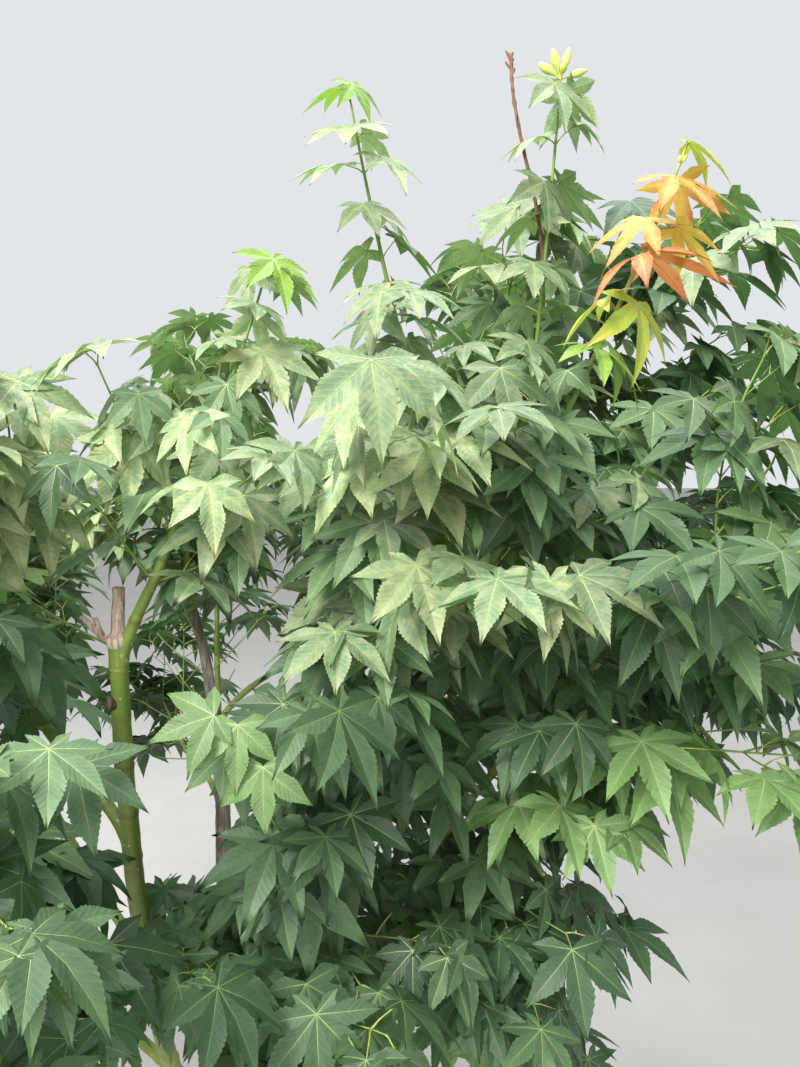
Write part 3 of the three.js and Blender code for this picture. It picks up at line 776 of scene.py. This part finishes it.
# Where leaves may stand
Leaf = namedtuple("Leaf", "order root foot midrib normal length kind shade tone")
leaves, twigs, young_twigs = [], [], []
taken = {}  # the middles of leaves by cells of space
traces = []
for mass in masses:
    inner = point_on(mass["limb"], np.linspace(INNER["from"], 1, 5))
    traces.append(np.concatenate([inner, mass["line"][:: len(mass["line"]) // TRACE]]))
trace_points = np.concatenate(traces)
trace_owner = np.concatenate([np.full(len(trace), order) for order, trace in enumerate(traces)])
limb_points = np.concatenate([points for points, _ in limb_lines])
limb_radii = np.concatenate([radii for _, radii in limb_lines])
low_corner = np.array(cad_box[0]) - BOX_SLACK
high_corner = np.array(cad_box[1]) + BOX_SLACK


def in_own_space(spot, order):
    far = norm(trace_points - spot, axis=1)
    return far[trace_owner == order].min() < far[trace_owner != order].min() + SPACE_SLACK


def clear_of_limbs(spot):
    return (norm(limb_points - spot, axis=1) > limb_radii + LIMB_CLEAR).all()


def in_box(spot):
    return (spot > low_corner).all() and (spot < high_corner).all()


def in_open_place(spot):
    """Whether a place is in one of the parts of the crown that stay bare"""
    for start, end, radius in OPEN_PLACES:
        start, way = np.array(start), np.array(end) - np.array(start)
        share = min(1.0, max(0.0, np.dot(spot - start, way) / np.dot(way, way)))
        if norm(spot - start - way * share) < radius:
            return True
    return False


def takes_room(middle, apart):
    """Whether no other leaf's middle is nearer than apart. If so, the room is taken."""
    cell = tuple(int(value // LEAF_APART) for value in middle)
    for x, y, z in product((-1, 0, 1), repeat=3):
        for other in taken.get((cell[0] + x, cell[1] + y, cell[2] + z), ()):
            if norm(other - middle) < apart:
                return False
    taken.setdefault(cell, []).append(middle)
    return True


def level_across(along):
    level = np.cross(UP, along)
    return unit(level) if norm(level) > 0.05 else ALONG_X


def stalk_way(along, out, degrees, lift):
    """The direction of a stalk that leaves its twig at an angle, on the side of out"""
    return unit(along * cos(radians(degrees)) + out * sin(radians(degrees)) + UP * lift)


def turned_stalk(along, degrees, turn, lift):
    """The direction of a stalk that leaves its twig at an angle, at a turn round the twig"""
    return stalk_way(along, turned(level_across(along), along, turn), degrees, lift)


def twig_line(root, heading, target, length, steps):
    share = np.linspace(0, 1, steps + 1)[:, None]
    return root + length * (heading * share + 0.5 * TWIG_BEND * (target - heading) * share**2)


def target_for(spot, heading):
    """Where a twig turns as it grows: outwards, up in the upper crown and a little down in the lower"""
    high = min(1.0, max(0.0, (spot[2] - TWIG_AIM["above"]) / TWIG_AIM["over"]))
    rise = lerp(*TWIG_AIM["rise"], high)
    return unit(level_of(spot) * TWIG_AIM["outward"] + heading * TWIG_AIM["heading"] + UP * rise)


class Grower:
    """Grows a mass: its twigs, and its leaves where they may stand"""

    def __init__(self, name, seed=2):
        self.order = order_of[name]
        self.mass = masses[self.order]
        self.draw = seeded(self.mass["seed"] + seed)

    def either(self, most):
        return most * (2 * self.draw() - 1)

    def between(self, ends):
        return lerp(*ends, self.draw())

    def may_end_at(self, spot):
        return in_own_space(spot, self.order) and clear_of_limbs(spot)

    def leaf(self, root, stalk, scale, tone, near=1.0):
        """A leaf whose stalk leaves root, if there is room for it"""
        length = scale * LEAF["length"] * (1 + self.either(LEAF["vary"]))
        reach = near * STALK["length"] * scale * self.between(STALK["vary"])
        foot = root + stalk * reach - UP * reach * STALK["sag"]
        level = level_of(unit(level_of(stalk) * LEAF["along_stalk"] + level_of(foot) * LEAF["outward"]))
        level = turned(level, UP, radians(self.either(LEAF["turn"])))
        droop = radians(self.between(LEAF["droop"]))
        midrib = level * cos(droop) - UP * sin(droop)
        normal = level * sin(droop) + UP * cos(droop)
        normal = turned(normal, midrib, radians(self.either(LEAF["tilt"])))
        kind = int(self.draw() * LEAF_KINDS)
        shade = self.draw()
        odd, step = self.draw() < ODD_TONE, 1 if self.draw() < 0.5 else -1
        if odd and tone in TONE_ORDER:
            tone = TONE_ORDER[min(max(TONE_ORDER.index(tone) + step, 0), len(TONE_ORDER) - 1)]
        if self.draw() < MISSING:
            return
        tip = foot + midrib * length * 0.9 - normal * length * 0.2
        middle = (foot + tip) / 2
        if not (self.may_end_at(foot) and clear_of_limbs(middle) and in_box(tip) and in_box(foot)):
            return
        if in_open_place(foot) or in_open_place(tip) or norm(tip - EYE) < NEAR_EYE:
            return
        if takes_room(middle, LEAF_APART * near**2):
            leaves.append(Leaf(self.order, root, foot, midrib, normal, length, kind, shade, tone))

    def tone(self, spot, outer):
        """The tone of a spray: pale from painted light high up and on the sunny side, dark from painted shade
        low down and inside
        """
        luck, fresh = self.draw(), self.draw() < FRESH_CHANCE
        height = min(1.0, max(0.0, (spot[2] - SHADE_BELOW) / (PALE_ABOVE - SHADE_BELOW)))
        # Painted sunlight on the sunny side, painted light high up and out, painted shade inside and in
        # shaded masses; luck is tone at random
        sunny = np.dot(spot, SUN_SIDE) / SUN_REACH * lerp(0.3, 1.0, height)
        bright = BRIGHT["height"] * height + BRIGHT["sun"] * sunny + BRIGHT["outer"] * (outer - 0.5)
        bright += BRIGHT["luck"] * (luck - 0.5) - SHADED.get(self.mass["name"], 0.0)
        for above, tone in TONE_FROM:
            if bright > above:
                return tone
        if fresh:
            return "fresh"
        return "deep" if bright > DEEP_FROM else "shade"

    def pairs(self, line, length, scale, tone):
        """Opposite pairs of leaves along a twig, and up to three leaves at its end"""
        self.draw()  # of no use itself, but it keeps the order of the others
        run = FIRST_PAIR
        while run < length - LAST_PAIR:
            spot, along = along_points(line, run / length)
            tilt = self.either(STALK["tilt"])
            for half in (0, 1):
                degrees = STALK["angle"] + self.either(STALK["angle_vary"])
                stalk = turned_stalk(along, degrees, tilt + pi * half, STALK["lift"])
                self.leaf(spot, stalk, scale * lerp(1.0, OUTER_LEAF_SCALE, run / length), tone)
            run += TWIG_STEP * self.between(STEP_VARY)
        spot, along = along_points(line, 1.0)
        self.end_pair(spot, along, AT_TWIG_END, scale, tone)
        if self.draw() < AT_TWIG_END["chance"]:
            self.leaf(spot, along, scale * AT_TWIG_END["last"], tone)

    def end_pair(self, spot, along, end, scale, tone):
        for side in (-1, 1):
            stalk = stalk_way(along, level_across(along) * side, end["angle"], end["lift"])
            self.leaf(spot, stalk, scale * end["pair"], tone)

    def twig(self, root, heading, length, radius, scale, tone, fine=True):
        """A twig with its leaves and, if it is fine, with side twigs"""
        steps = max(3, int(length / TWIG_POINT_STEP))
        line = twig_line(root, heading, target_for(root, heading), length, steps)
        twigs.append((line, radius, TWIG_TIP_RADIUS, 5 if fine else 4))
        run = self.between(SIDE_TWIG["first"]) * length if fine else length
        while run < SIDE_TWIG["last"] * length:
            spot, along = along_points(line, run / length)
            for turn in (pi, 0):
                if self.draw() > SIDE_TWIG["chance"]:
                    continue
                degrees = SIDE_TWIG["angle"] + self.either(SIDE_TWIG["angle_vary"])
                turn += self.either(SIDE_TWIG["turn_vary"])
                way = turned_stalk(along, degrees, turn, SIDE_TWIG["lift"])
                part = SIDE_TWIG["share"] * (length - run) * self.between(TWIG_VARY)
                part = max(SIDE_TWIG["shortest"], part)
                if self.may_end_at(spot + way * part):
                    thin, small = radius * SIDE_TWIG["thickness"], scale * SIDE_TWIG["leaf_scale"]
                    self.twig(spot, way, part, thin, small, tone, fine=False)
            run += TWIG_STEP * SIDE_TWIG["step"] * self.between(STEP_VARY)
        self.pairs(line, length, scale, tone)

    def main_twigs(self):
        """The twigs that the solids have, by the same draws"""
        mass = self.mass
        draw = seeded(mass["seed"])
        first_turn = pi * draw()
        for pair in range(TWIG["pairs"]):
            share = lerp(TWIG["first"], TWIG["last"], pair / (TWIG["pairs"] - 1))
            root, along = along_points(mass["line"], share)
            for half in (0, 1):
                length = mass["spread"] * (1 - mass["shortening"] * share) * lerp(*TWIG_VARY, draw())
                out = turned(unit(np.cross(UP, along)), along, first_turn + pi / 2 * pair + pi * half)
                angle = radians(TWIG["angle"])
                heading = along * cos(angle) + out * sin(angle) + UP * TWIG["lift"]
                yield share, root, unit(heading + level_of(root) * TWIG["outward"]), length

    def inner_twigs(self):
        """Short leafy twigs on the last stretch of the limb that carries the mass"""
        limb = self.mass["limb"]
        share = INNER["from"]
        turn = pi * self.draw()
        while share < INNER["to"]:
            spot, along = point_on(limb, share), heading_on(limb, share)
            for half in (0, 1):
                way = turned_stalk(along, INNER["angle"], turn + pi * half, INNER["lift"])
                reach = self.between(INNER["reach"])
                tone = self.tone(spot, 0.0)
                if in_own_space(spot + way * reach, self.order):
                    thin = TWIG_RADIUS * INNER["thickness"]
                    self.twig(spot, way, reach, thin, INNER["leaf_scale"], tone, fine=False)
            turn += pi / 2
            share += INNER["step"] / norm(limb[3] - limb[0])

    def grow(self):
        mass, line, slender = self.mass, self.mass["line"], self.mass["slender"]
        young, budded = mass["name"] == YOUNG_SHOOT, mass["name"] == BUDDED
        length = norm(np.diff(line, axis=0), axis=1).sum()
        scale = SLENDER["leaf_scale"] if slender else 1.0
        cut, middle = len(line) - 1, STEM_TIP_RADIUS
        if young:
            scale = YOUNG["scale"]
            cut = int(YOUNG["from"] * cut)
            middle = lerp(mass["radius"], STEM_TIP_RADIUS, YOUNG["from"])
            young_twigs.append((line[cut:], middle, STEM_TIP_RADIUS, 8))
        twigs.append((line[: cut + 1], mass["radius"], middle, 8))
        for share, root, heading, reach in self.main_twigs():
            if slender and share > SLENDER_FROM:
                continue
            reach *= SLENDER_REACH if slender else TWIG_REACH
            for _ in range(4):
                end = root + heading * reach
                if self.may_end_at(end) and in_box(end):
                    break
                reach *= 0.8
            tone = self.tone(root + heading * reach, share)
            self.twig(root, heading, reach, lerp(1.0, 0.55, share) * TWIG_RADIUS, scale, tone)
        self.inner_twigs()
        run = FIRST_PAIR
        turn = pi * self.draw()
        while run < length:
            share = run / length
            at_top = young and share > YOUNG["from"]
            chance = 0.0 if slender and share > SLENDER_FROM else SHORT_TWIG["chance"]
            spot, along = along_points(line, share)
            tone = self.tone(spot, share)
            for half in (0, 1):
                degrees = STALK["angle"] + self.either(STEM_STALK["angle_vary"])
                stalk = turned_stalk(along, degrees, turn + pi * half, STEM_STALK["lift"])
                if self.draw() < chance * (1.1 - share):
                    reach = SHORT_TWIG["length"] * self.between(SHORT_TWIG["vary"]) * (1.2 - share)
                    thin = TWIG_RADIUS * SHORT_TWIG["thickness"]
                    self.twig(spot, stalk, reach, thin, scale, tone, fine=False)
                else:
                    near = YOUNG["stalk"] if at_top else 1.0
                    self.leaf(spot, stalk, scale * lerp(1.0, OUTER_LEAF_SCALE, share), tone, near)
            turn += pi / 2
            step = SLENDER_STEP if slender else NODE_STEP
            run += (YOUNG["step"] if at_top else step) * self.between(STEP_VARY)
        spot, along = along_points(line, BUDDED_TOP if budded else 1.0)
        top = "bright" if mass["name"] in BRIGHT_TOPS else tone
        if not young:
            self.end_pair(spot, along, AT_STEM_END, scale, top)
        if not budded:
            near = YOUNG["stalk"] / 2 if young else 1.0
            self.leaf(spot, along, scale * AT_STEM_END["last"], top, near)


for mass in masses:
    Grower(mass["name"]).grow()

# The thin live twig that leaves the pruned stem beside its stub, with two leaves at its end
COLLAR_TWIG = {"azimuth": 165, "rise": 330, "length": 0.095, "radius": 0.0014}
AT_COLLAR_END = {"angle": 30, "lift": 0.2, "pair": 0.85}
root = stem_curves["pruned"][3] + place([COLLAR_TWIG["azimuth"], 7, -8])
heading = towards(COLLAR_TWIG["azimuth"], COLLAR_TWIG["rise"])
line = twig_line(root, heading, unit(heading + UP * 0.3), COLLAR_TWIG["length"], 5)
twigs.append((line, COLLAR_TWIG["radius"], TWIG_TIP_RADIUS, 6))
Grower("foliage_regrowth", 9).end_pair(line[-1], heading, AT_COLLAR_END, 1.0, "dusty")

# The light green sprig in front of the gap beside the pruned stem. A leaf is the share of the twig it
# leaves, its foot's place, azimuth and rise of its midrib and of its face, its length, tone and shade.
SPRIG = {"at": 0.86, "leave": (-90, 60), "end": [-72.2, 576, 1224], "arrive": (-110, 20), "radius": 0.0016}
SPRIG_LEAVES = [
    # The first leaf's low shade of 0.15 darkens it as painted shade
    [1.0, [-74.1, 575, 1248], [-158, -160], [-97, 740], 55, "fresh", 0.15],
    [1.0, [-72.4, 581, 1241], [-84, -1880], [-83, 530], 50, "fresh", 0.5],
    [0.9, [-70.7, 591, 1209], [-87, -2250], [-90, 470], 54, "fresh", 0.4],
    [0.86, [-73.2, 567, 1215], [-160, -700], [-100, 620], 44, "mid", 0.5],
    [0.86, [-71.5, 563, 1198], [-110, -2600], [-95, 380], 48, "deep", 0.5],
]
root = point_on(stem_curves["front"], SPRIG["at"])
line = spaced(limb_curve(root, leaning(*SPRIG["leave"]), place(SPRIG["end"]), leaning(*SPRIG["arrive"])), 12)
twigs.append((line, SPRIG["radius"], TWIG_TIP_RADIUS, 6))
for number, (share, foot, midrib, face, length, tone, shade) in enumerate(SPRIG_LEAVES):
    spot, _ = along_points(line, share)
    midrib, normal = towards(*midrib), towards(*face)
    normal = unit(normal - midrib * np.dot(normal, midrib))
    kind = 4 * (number % 2)
    order = order_of["foliage_front"]
    leaves.append(Leaf(order, spot, place(foot), midrib, normal, length * MM, kind, shade, tone))

# The young shoot's leaves turn from green through yellow-green to red, orange and yellow
shoot = masses[order_of[YOUNG_SHOOT]]
low, high = shoot["line"][0][2], shoot["line"][-1][2]
draw = seeded(shoot["seed"] + 5)
for index, leaf in enumerate(leaves):
    if leaf.order != order_of[YOUNG_SHOOT]:
        continue
    kind = LEAF_KINDS + int(draw() * YOUNG_KINDS)
    tones = [tone for above, tone in YOUNG_BANDS if (leaf.root[2] - low) / (high - low) > above]
    if tones:
        leaves[index] = leaf._replace(kind=kind, tone=tones[0])

# Leaves. A lobe is [angle from the midrib, length, half width], and a sinus a distance from the foot.
SEVEN_LOBES = {
    "lobes": [[0, 1.0, 0.168], [43, 0.93, 0.160], [87, 0.72, 0.128], [131, 0.37, 0.068]],
    "sinus": [0.37, 0.35, 0.23],
    "curl": 1.0,
}
FIVE_LOBES = {
    "lobes": [[0, 1.0, 0.182], [48, 0.87, 0.166], [101, 0.54, 0.112]],
    "sinus": [0.37, 0.29],
    "curl": 1.0,
}
YOUNG_LOBES = {
    "lobes": [[0, 1.0, 0.125], [46, 0.90, 0.118], [94, 0.58, 0.088]],
    "sinus": [0.26, 0.21],
    "curl": 1.8,
}
# A lobe's half width, as a share of its widest, at shares of its length
LOBE_EDGE = {
    "at": [0.28, 0.36, 0.45, 0.54, 0.65, 0.77, 0.88, 1.0],
    "off": [0.74, 0.89, 1.0, 0.97, 0.79, 0.48, 0.20, 0.0],
}
# How much a leaf arches and folds, how far its lobes are swept, and how a lobe's width and length vary,
# its tip waves up or down and it bends
ARCH, FOLD, SWEEP = (0.14, 0.36), (0.16, 0.34), (0.96, 1.06)
LOBE = {"width": (0.94, 1.06), "length": (0.93, 1.05), "wave": 0.10, "bend": 5}
TOOTH = {"notch": 0.05, "tip": 0.07, "length": 0.02}
LAST_EDGE = 0.93
LAST_SINUS = {"angle": 34, "start": (0.02, 0.03)}  # behind the lowest lobe
RIB_STEPS = [0.0, 0.36, 0.7, 1.0]
VEIN_WIDTHS = [(0.0, 0.0068), (0.36, 0.0042), (0.7, 0.0026), (0.95, 0.0)]
VEIN_LIFT = 0.005
LEAF_SEED, YOUNG_LEAF_SEED = 900, 930
VEIN_FACES = [(0, 1, 3), (0, 3, 2), (2, 3, 5), (2, 5, 4), (4, 5, 6)]
# How finely leaves are made near the viewpoint, in the crown's outside and in its inside: where the
# margin has its teeth, or its plain points if they are two, and how wide the veins are
FINENESS = {
    "near": ([0.46, 0.51, 0.56, 0.61, 0.66, 0.71, 0.76, 0.81, 0.87], 0.75),
    "outer": ([0.44, 0.52, 0.60, 0.68, 0.77], 1.0),
    "inner": ([0.5, 0.78], 1.0),
}


def margin_of(length, width, start, teeth):
    """Points of one side of a lobe, from its sinus to its tip, as distances along and off its midrib"""
    edge = [start]

    def add(share, grown=1.0):
        edge.append((share * length, width * np.interp(share, LOBE_EDGE["at"], LOBE_EDGE["off"]) * grown))

    toothed = len(teeth) > 2
    for share in teeth:
        if share * length > start[0] + 0.01:
            add(share, 1 - TOOTH["notch"] if toothed else 1.0)
            if toothed:
                add(share + TOOTH["length"] / length, 1 + TOOTH["tip"])
    if toothed:
        add(LAST_EDGE)
    return [*edge, (length, 0.0)]


def stitched(first, second):
    """Triangles between two lines of points that end in the same point, numbered one line after the other"""
    faces = []
    i, j, shift = 0, 0, len(first)
    while i < len(first) - 1 or j < len(second) - 1:
        if i < len(first) - 1 and (j == len(second) - 1 or first[i + 1][0] <= second[j + 1][0]):
            faces.append((i, i + 1, shift + j))
            i += 1
        else:
            faces.append((i, shift + j + 1, shift + j))
            j += 1
    return faces


def leaf_kind(seed, form, teeth, vein_width):
    """A leaf of length 1 with its foot at 0, its midrib along Y and its upper face to Z: the points,
    triangles and UV pairs of its blade, and the points and triangles of its veins"""
    draw = seeded(seed)
    curl, lobes = form["curl"], form["lobes"]
    arch = lerp(*ARCH, draw()) * curl
    fold = lerp(*FOLD, draw())
    sweep = lerp(*SWEEP, draw())
    spots, faces, blade, vein_spots, vein_faces = [], [], [], [], []

    def lobe_draws():
        wave = LOBE["wave"] * (2 * draw() - 1)
        bend = radians(LOBE["bend"] * (2 * draw() - 1))
        return wave, bend, lerp(*LOBE["length"], draw())

    def height(x, y, off, wave):
        reach = hypot(x, y)
        return fold * abs(off) - arch * reach * reach + wave * curl * reach * reach * reach

    middle = lobe_draws()
    for side, (index, (angle, length, width)) in product((1, -1), enumerate(lobes)):
        wave, bend, longer = middle if index == 0 else lobe_draws()
        long = length * longer
        turn = radians(angle * sweep) * side
        after = lobes[index + 1][0] if index + 1 < len(lobes) else angle + LAST_SINUS["angle"]
        halves = [(1, index, after)]
        if index:
            halves.append((-1, index - 1, lobes[index - 1][0]))
        for half, sinus, other in halves:
            gap = radians(abs(other - angle) / 2 * sweep)
            start = LAST_SINUS["start"]
            if half == -1 or index + 1 < len(lobes):
                start = (form["sinus"][sinus] * cos(gap), form["sinus"][sinus] * sin(gap))
            edge = margin_of(long, width * lerp(*LOBE["width"], draw()), start, teeth)
            rib = [(share * long, 0.0) for share in RIB_STEPS]
            for face in stitched(rib, edge):
                face = [len(spots) + number for number in face]
                faces.append(face if half * side > 0 else face[::-1])
            for run, off in rib + edge:
                way = turn + bend * (run / long) ** 2
                across = off * half * side
                x = sin(way) * run + cos(way) * across
                y = cos(way) * run - sin(way) * across
                spots.append((x, y, height(x, y, off, wave)))
                blade.append((run, off))
        if index == 0 and side == -1:
            continue
        vein_faces += [[len(vein_spots) + number for number in face] for face in VEIN_FACES]
        for share, wide in VEIN_WIDTHS:
            way = turn + bend * share**2
            x, y = sin(way) * share * long, cos(way) * share * long
            z = height(x, y, 0.0, wave) + VEIN_LIFT
            for across in (-wide * vein_width, wide * vein_width) if wide else (0.0,):
                vein_spots.append((x + cos(way) * across, y - sin(way) * across, z))
    return {
        "blade": (np.array(spots), np.array(faces), np.array(blade)),
        "veins": (np.array(vein_spots), np.array(vein_faces), None),
    }


def leaf_kinds(fineness):
    """The kinds of green leaves, of which each fourth has five lobes, and then of young ones"""
    forms = [SEVEN_LOBES if number % 4 else FIVE_LOBES for number in range(LEAF_KINDS)]
    green = [leaf_kind(LEAF_SEED + number, form, *fineness) for number, form in enumerate(forms)]
    return green + [leaf_kind(YOUNG_LEAF_SEED + i, YOUNG_LOBES, *fineness) for i in range(YOUNG_KINDS)]


KINDS = {level: leaf_kinds(fineness) for level, fineness in FINENESS.items()}


def placed(shape, rows):
    """The points of a leaf's shape at each leaf of rows"""
    midribs = np.array([leaf.midrib for leaf in rows])
    normals = np.array([leaf.normal for leaf in rows])
    lengths = np.array([leaf.length for leaf in rows])[:, None, None]
    axes = np.stack([np.cross(midribs, normals), midribs, normals], axis=1) * lengths
    return np.einsum("vk,lkc->lvc", shape, axes) + np.array([leaf.foot for leaf in rows])[:, None]


def node_names(rows):
    return sorted({masses[leaf.order]["name"] for leaf in rows})


def outerness(leaf):
    """How far out in the crown a leaf stands, from its middle at 0"""
    middle = (np.array(cad_box[0]) + np.array(cad_box[1])) / 2
    middle[2] = CROWN_MIDDLE_HEIGHT
    return norm((leaf.foot - middle) / CROWN_HALF)


far_out = sorted(range(len(leaves)), key=lambda index: outerness(leaves[index]))
inside = set(far_out[: len(leaves) * INNER_SHARE // 100])
at_level = {level: [] for level in FINENESS}
for index, leaf in enumerate(leaves):
    level = "inner" if index in inside else "outer"
    at_level["near" if norm(leaf.foot - EYE) < NEAR_LEAF else level].append(leaf)


def add_leaves(part, name, level, tones, material, slot):
    """The blades or the veins of the leaves of some tones, in pieces of at most MOST_TRIANGLES"""
    rows = [leaf for leaf in at_level[level] if leaf.tone in tones]
    most = MOST_TRIANGLES // max(len(kind[part][1]) for kind in KINDS[level])
    for number, first in enumerate(range(0, len(rows), most), 1):
        batch = rows[first : first + most]
        meshes, blade, shade = [], [], []
        for index, kind in enumerate(KINDS[level]):
            own = [leaf for leaf in batch if leaf.kind == index]
            if own:
                spots, faces, pairs = kind[part]
                meshes.append(repeated(placed(spots, own), faces))
                if part == "blade":
                    blade.append(np.tile(pairs, (len(own), 1)))
                    shade.append(np.repeat([leaf.shade for leaf in own], len(spots)))
        extra = [np.concatenate(blade), np.concatenate(shade)] if blade else []
        suffix = f"_{number}" if number > 1 or part == "veins" else ""
        add_piece(f"{name}_{level}{suffix}", *joined(meshes), material, slot, node_names(batch), *extra)


for start, slot, materials in (("", "green_leaves", LEAF_TONES), ("young_", "young_leaves", YOUNG_TONES)):
    for (tone, material), level in product(materials.items(), FINENESS):
        add_leaves("blade", f"{start}leaves_{tone}", level, (tone,), material, slot)
LIGHT_TONES = [tone for tone in (*LEAF_TONES, *YOUNG_TONES) if tone not in DARK_TONES]
for level in ("near", "outer"):
    for shade, tones in (("dark", DARK_TONES), ("pale", LIGHT_TONES)):
        add_leaves("veins", "leaf_veins_" + shade, level, tones, VEINS[shade], "green_leaves")


def stalks(rows):
    """Three-sided stalks from twig to blade, slightly bowed"""
    roots = np.array([leaf.root for leaf in rows])
    way = np.array([leaf.foot for leaf in rows]) - roots
    length = norm(way, axis=1)[:, None]
    side = np.cross(way, UP)
    side /= np.maximum(1e-6, norm(side, axis=1)[:, None])
    out = around(side, np.cross(side, way / length), 3)
    rings = []
    for share, wide in ((0.0, 1.5), (0.25, 0.9), (1.0, 0.8)):
        middle = roots + way * share + UP * length * STALK["bow"] * share * (1 - share)
        rings.append(middle[:, None] + out * STALK["radius"] * wide)
    return repeated(np.concatenate(rings, axis=1), wall_faces(3, 3))


green_rows = [leaf for leaf in leaves if leaf.tone in LEAF_TONES]
young_rows = [leaf for leaf in leaves if leaf.tone in YOUNG_TONES]
add_piece("leaf_stalks", *stalks(green_rows), STALK_SKIN, "green_leaves", node_names(green_rows))
add_piece("young_leaf_stalks", *stalks(young_rows), YOUNG_STALK_SKIN, "young_leaves", node_names(young_rows))


def add_twigs(name, lines, material, slot, names):
    tubes = [tube(line, np.linspace(start, end, len(line)), count) for line, start, end, count in lines]
    add_piece(name, *joined(tubes), material, slot, names)


add_twigs("twigs", twigs, TWIG_BARK, "green_bark", sorted(order_of))
add_twigs("young_stem", young_twigs, YOUNG_STEM, "young_leaves", [YOUNG_SHOOT])

# Swollen buds at the tops of two shoots, each [azimuth, rise of 1000 along, length, radius], in millimetres
BUD_SHAPE = [0.25, 0.55, 0.85, 1.0, 0.9, 0.6, 0.2]
BUD_STALK = [0.7, 0.7]
SHOOT_BUDS = [
    [178, 700, 24, 4.7],
    [-150, 2200, 25, 4.9],
    [20, 3400, 28, 4.6],
    [5, 350, 25, 4.0],
    [-80, 1100, 15, 4.0],
    [100, 1200, 16, 4.2],
]
YOUNG_BUDS = [[-20, 1400, 9, 1.9], [-90, 2000, 7, 1.7], [60, 900, 8, 1.6]]


def add_buds(name, mass_name, at, buds):
    """Club-shaped buds that stand together at the top of a shoot"""
    root, _ = along_points(masses[order_of[mass_name]]["line"], at)
    parts = []
    for azimuth, rise, length, radius in buds:
        radii = np.array([*BUD_STALK, *(radius * np.array(BUD_SHAPE))]) * MM
        line = root + towards(azimuth, rise) * np.linspace(0, length * 1.2 * MM, len(radii))[:, None]
        parts.append(tube(line, radii, 10))
    add_piece(name, *joined(parts), BUD_SKIN, "young_leaves", [mass_name])


add_buds("shoot_buds", BUDDED, 1.0, SHOOT_BUDS)
add_buds("young_shoot_buds", YOUNG_SHOOT, 0.97, YOUNG_BUDS)

# The bare dead twig on the budded shoot, ringed, with broken scales at its top
root, heading = along_points(masses[order_of[BUDDED]]["line"], DEAD_TWIG["at"])
end = place(DEAD_TWIG["end"])
shares = np.linspace(0, 1, 90)
points = point_on(limb_curve(root, heading, end, UP), shares)
length = norm(end - root)
swell = 1 + DEAD_TWIG["swell"] * node_swell(shares * length, length + 0.03, 0.03, 0.024, 0.0022)
radii = lerp(DEAD_TWIG["radius"], DEAD_TWIG["tip_radius"], shares) * MM * swell
parts = [limb_mesh("dead_twig", points, radii, 10)]
draw = seeded(DEAD_TWIG["seed"])
for number in range(DEAD_TWIG["scales"]):
    spot, _ = along_points(points, 1.0 - 0.03 * number / DEAD_TWIG["scales"] - 0.05 * (number % 2))
    parts.append(snag(spot, 360 * draw(), lerp(900, 2600, draw()), lerp(5, 10, draw()), 1.6))
add_piece("dead_twig", *joined(parts), DEAD_TWIG_BARK, "dead_wood", [BUDDED])

# Camera, floor and light
scene = bpy.context.scene


def add_object(name, data):
    made = bpy.data.objects.new(name, data)
    scene.collection.objects.link(made)
    return made


camera = add_object("camera", bpy.data.cameras.new("camera"))
camera.location = EYE
camera.rotation_euler = (radians(90 - PITCH), 0, 0)
camera.data.lens = LENS
camera.data.sensor_width = 36
camera.data.clip_start = 0.02
scene.camera = camera

floor_mesh = bpy.data.meshes.new("floor")
floor_mesh.from_pydata([(-30, -30, 0), (30, -30, 0), (30, 30, 0), (-30, 30, 0)], [], [(0, 1, 2, 3)])
paper = Nodes("floor_paper")
cloudy = paper.ramp(paper.noise(paper.place(), 3.0), 0.3, 0.7)
paper_tone = paper.mix(cloudy, rgba((0.41, 0.40, 0.38)), rgba((0.45, 0.44, 0.42)))
floor_mesh.materials.append(paper.dress(paper_tone, 0.9))
add_object("floor", floor_mesh)

# A light's place, the place it aims at, its size, energy and colour
LIGHTS = {
    "key": [(-1.5, -2.6, 3.9), (0.1, -0.2, 1.2), 1.6, 290, (1.0, 0.98, 0.92)],
    "front": [(0.4, -4.2, 2.1), (0.1, 0.0, 1.1), 2.0, 54, (1.0, 0.99, 0.96)],
    "top": [(0.5, 0.4, 4.6), (0.1, 0.0, 1.2), 3.0, 170, (0.96, 0.99, 1.0)],
}
for name, (spot, aim, size, energy, colour) in LIGHTS.items():
    light = bpy.data.lights.new(name, "AREA")
    light.shape = "SQUARE"
    light.size = size
    light.energy = energy
    light.color = colour
    lamp = add_object(name, light)
    lamp.location = spot
    lamp.visible_camera = False
    lamp.rotation_euler = (Vector(aim) - Vector(spot)).to_track_quat("-Z", "Y").to_euler()

world = bpy.data.worlds.new("studio")
world.use_nodes = True
background = world.node_tree.nodes["Background"]
background.inputs[0].default_value = (0.90, 0.93, 0.96, 1.0)
background.inputs[1].default_value = 0.85
scene.world = world
scene.view_settings.view_transform = "Standard"
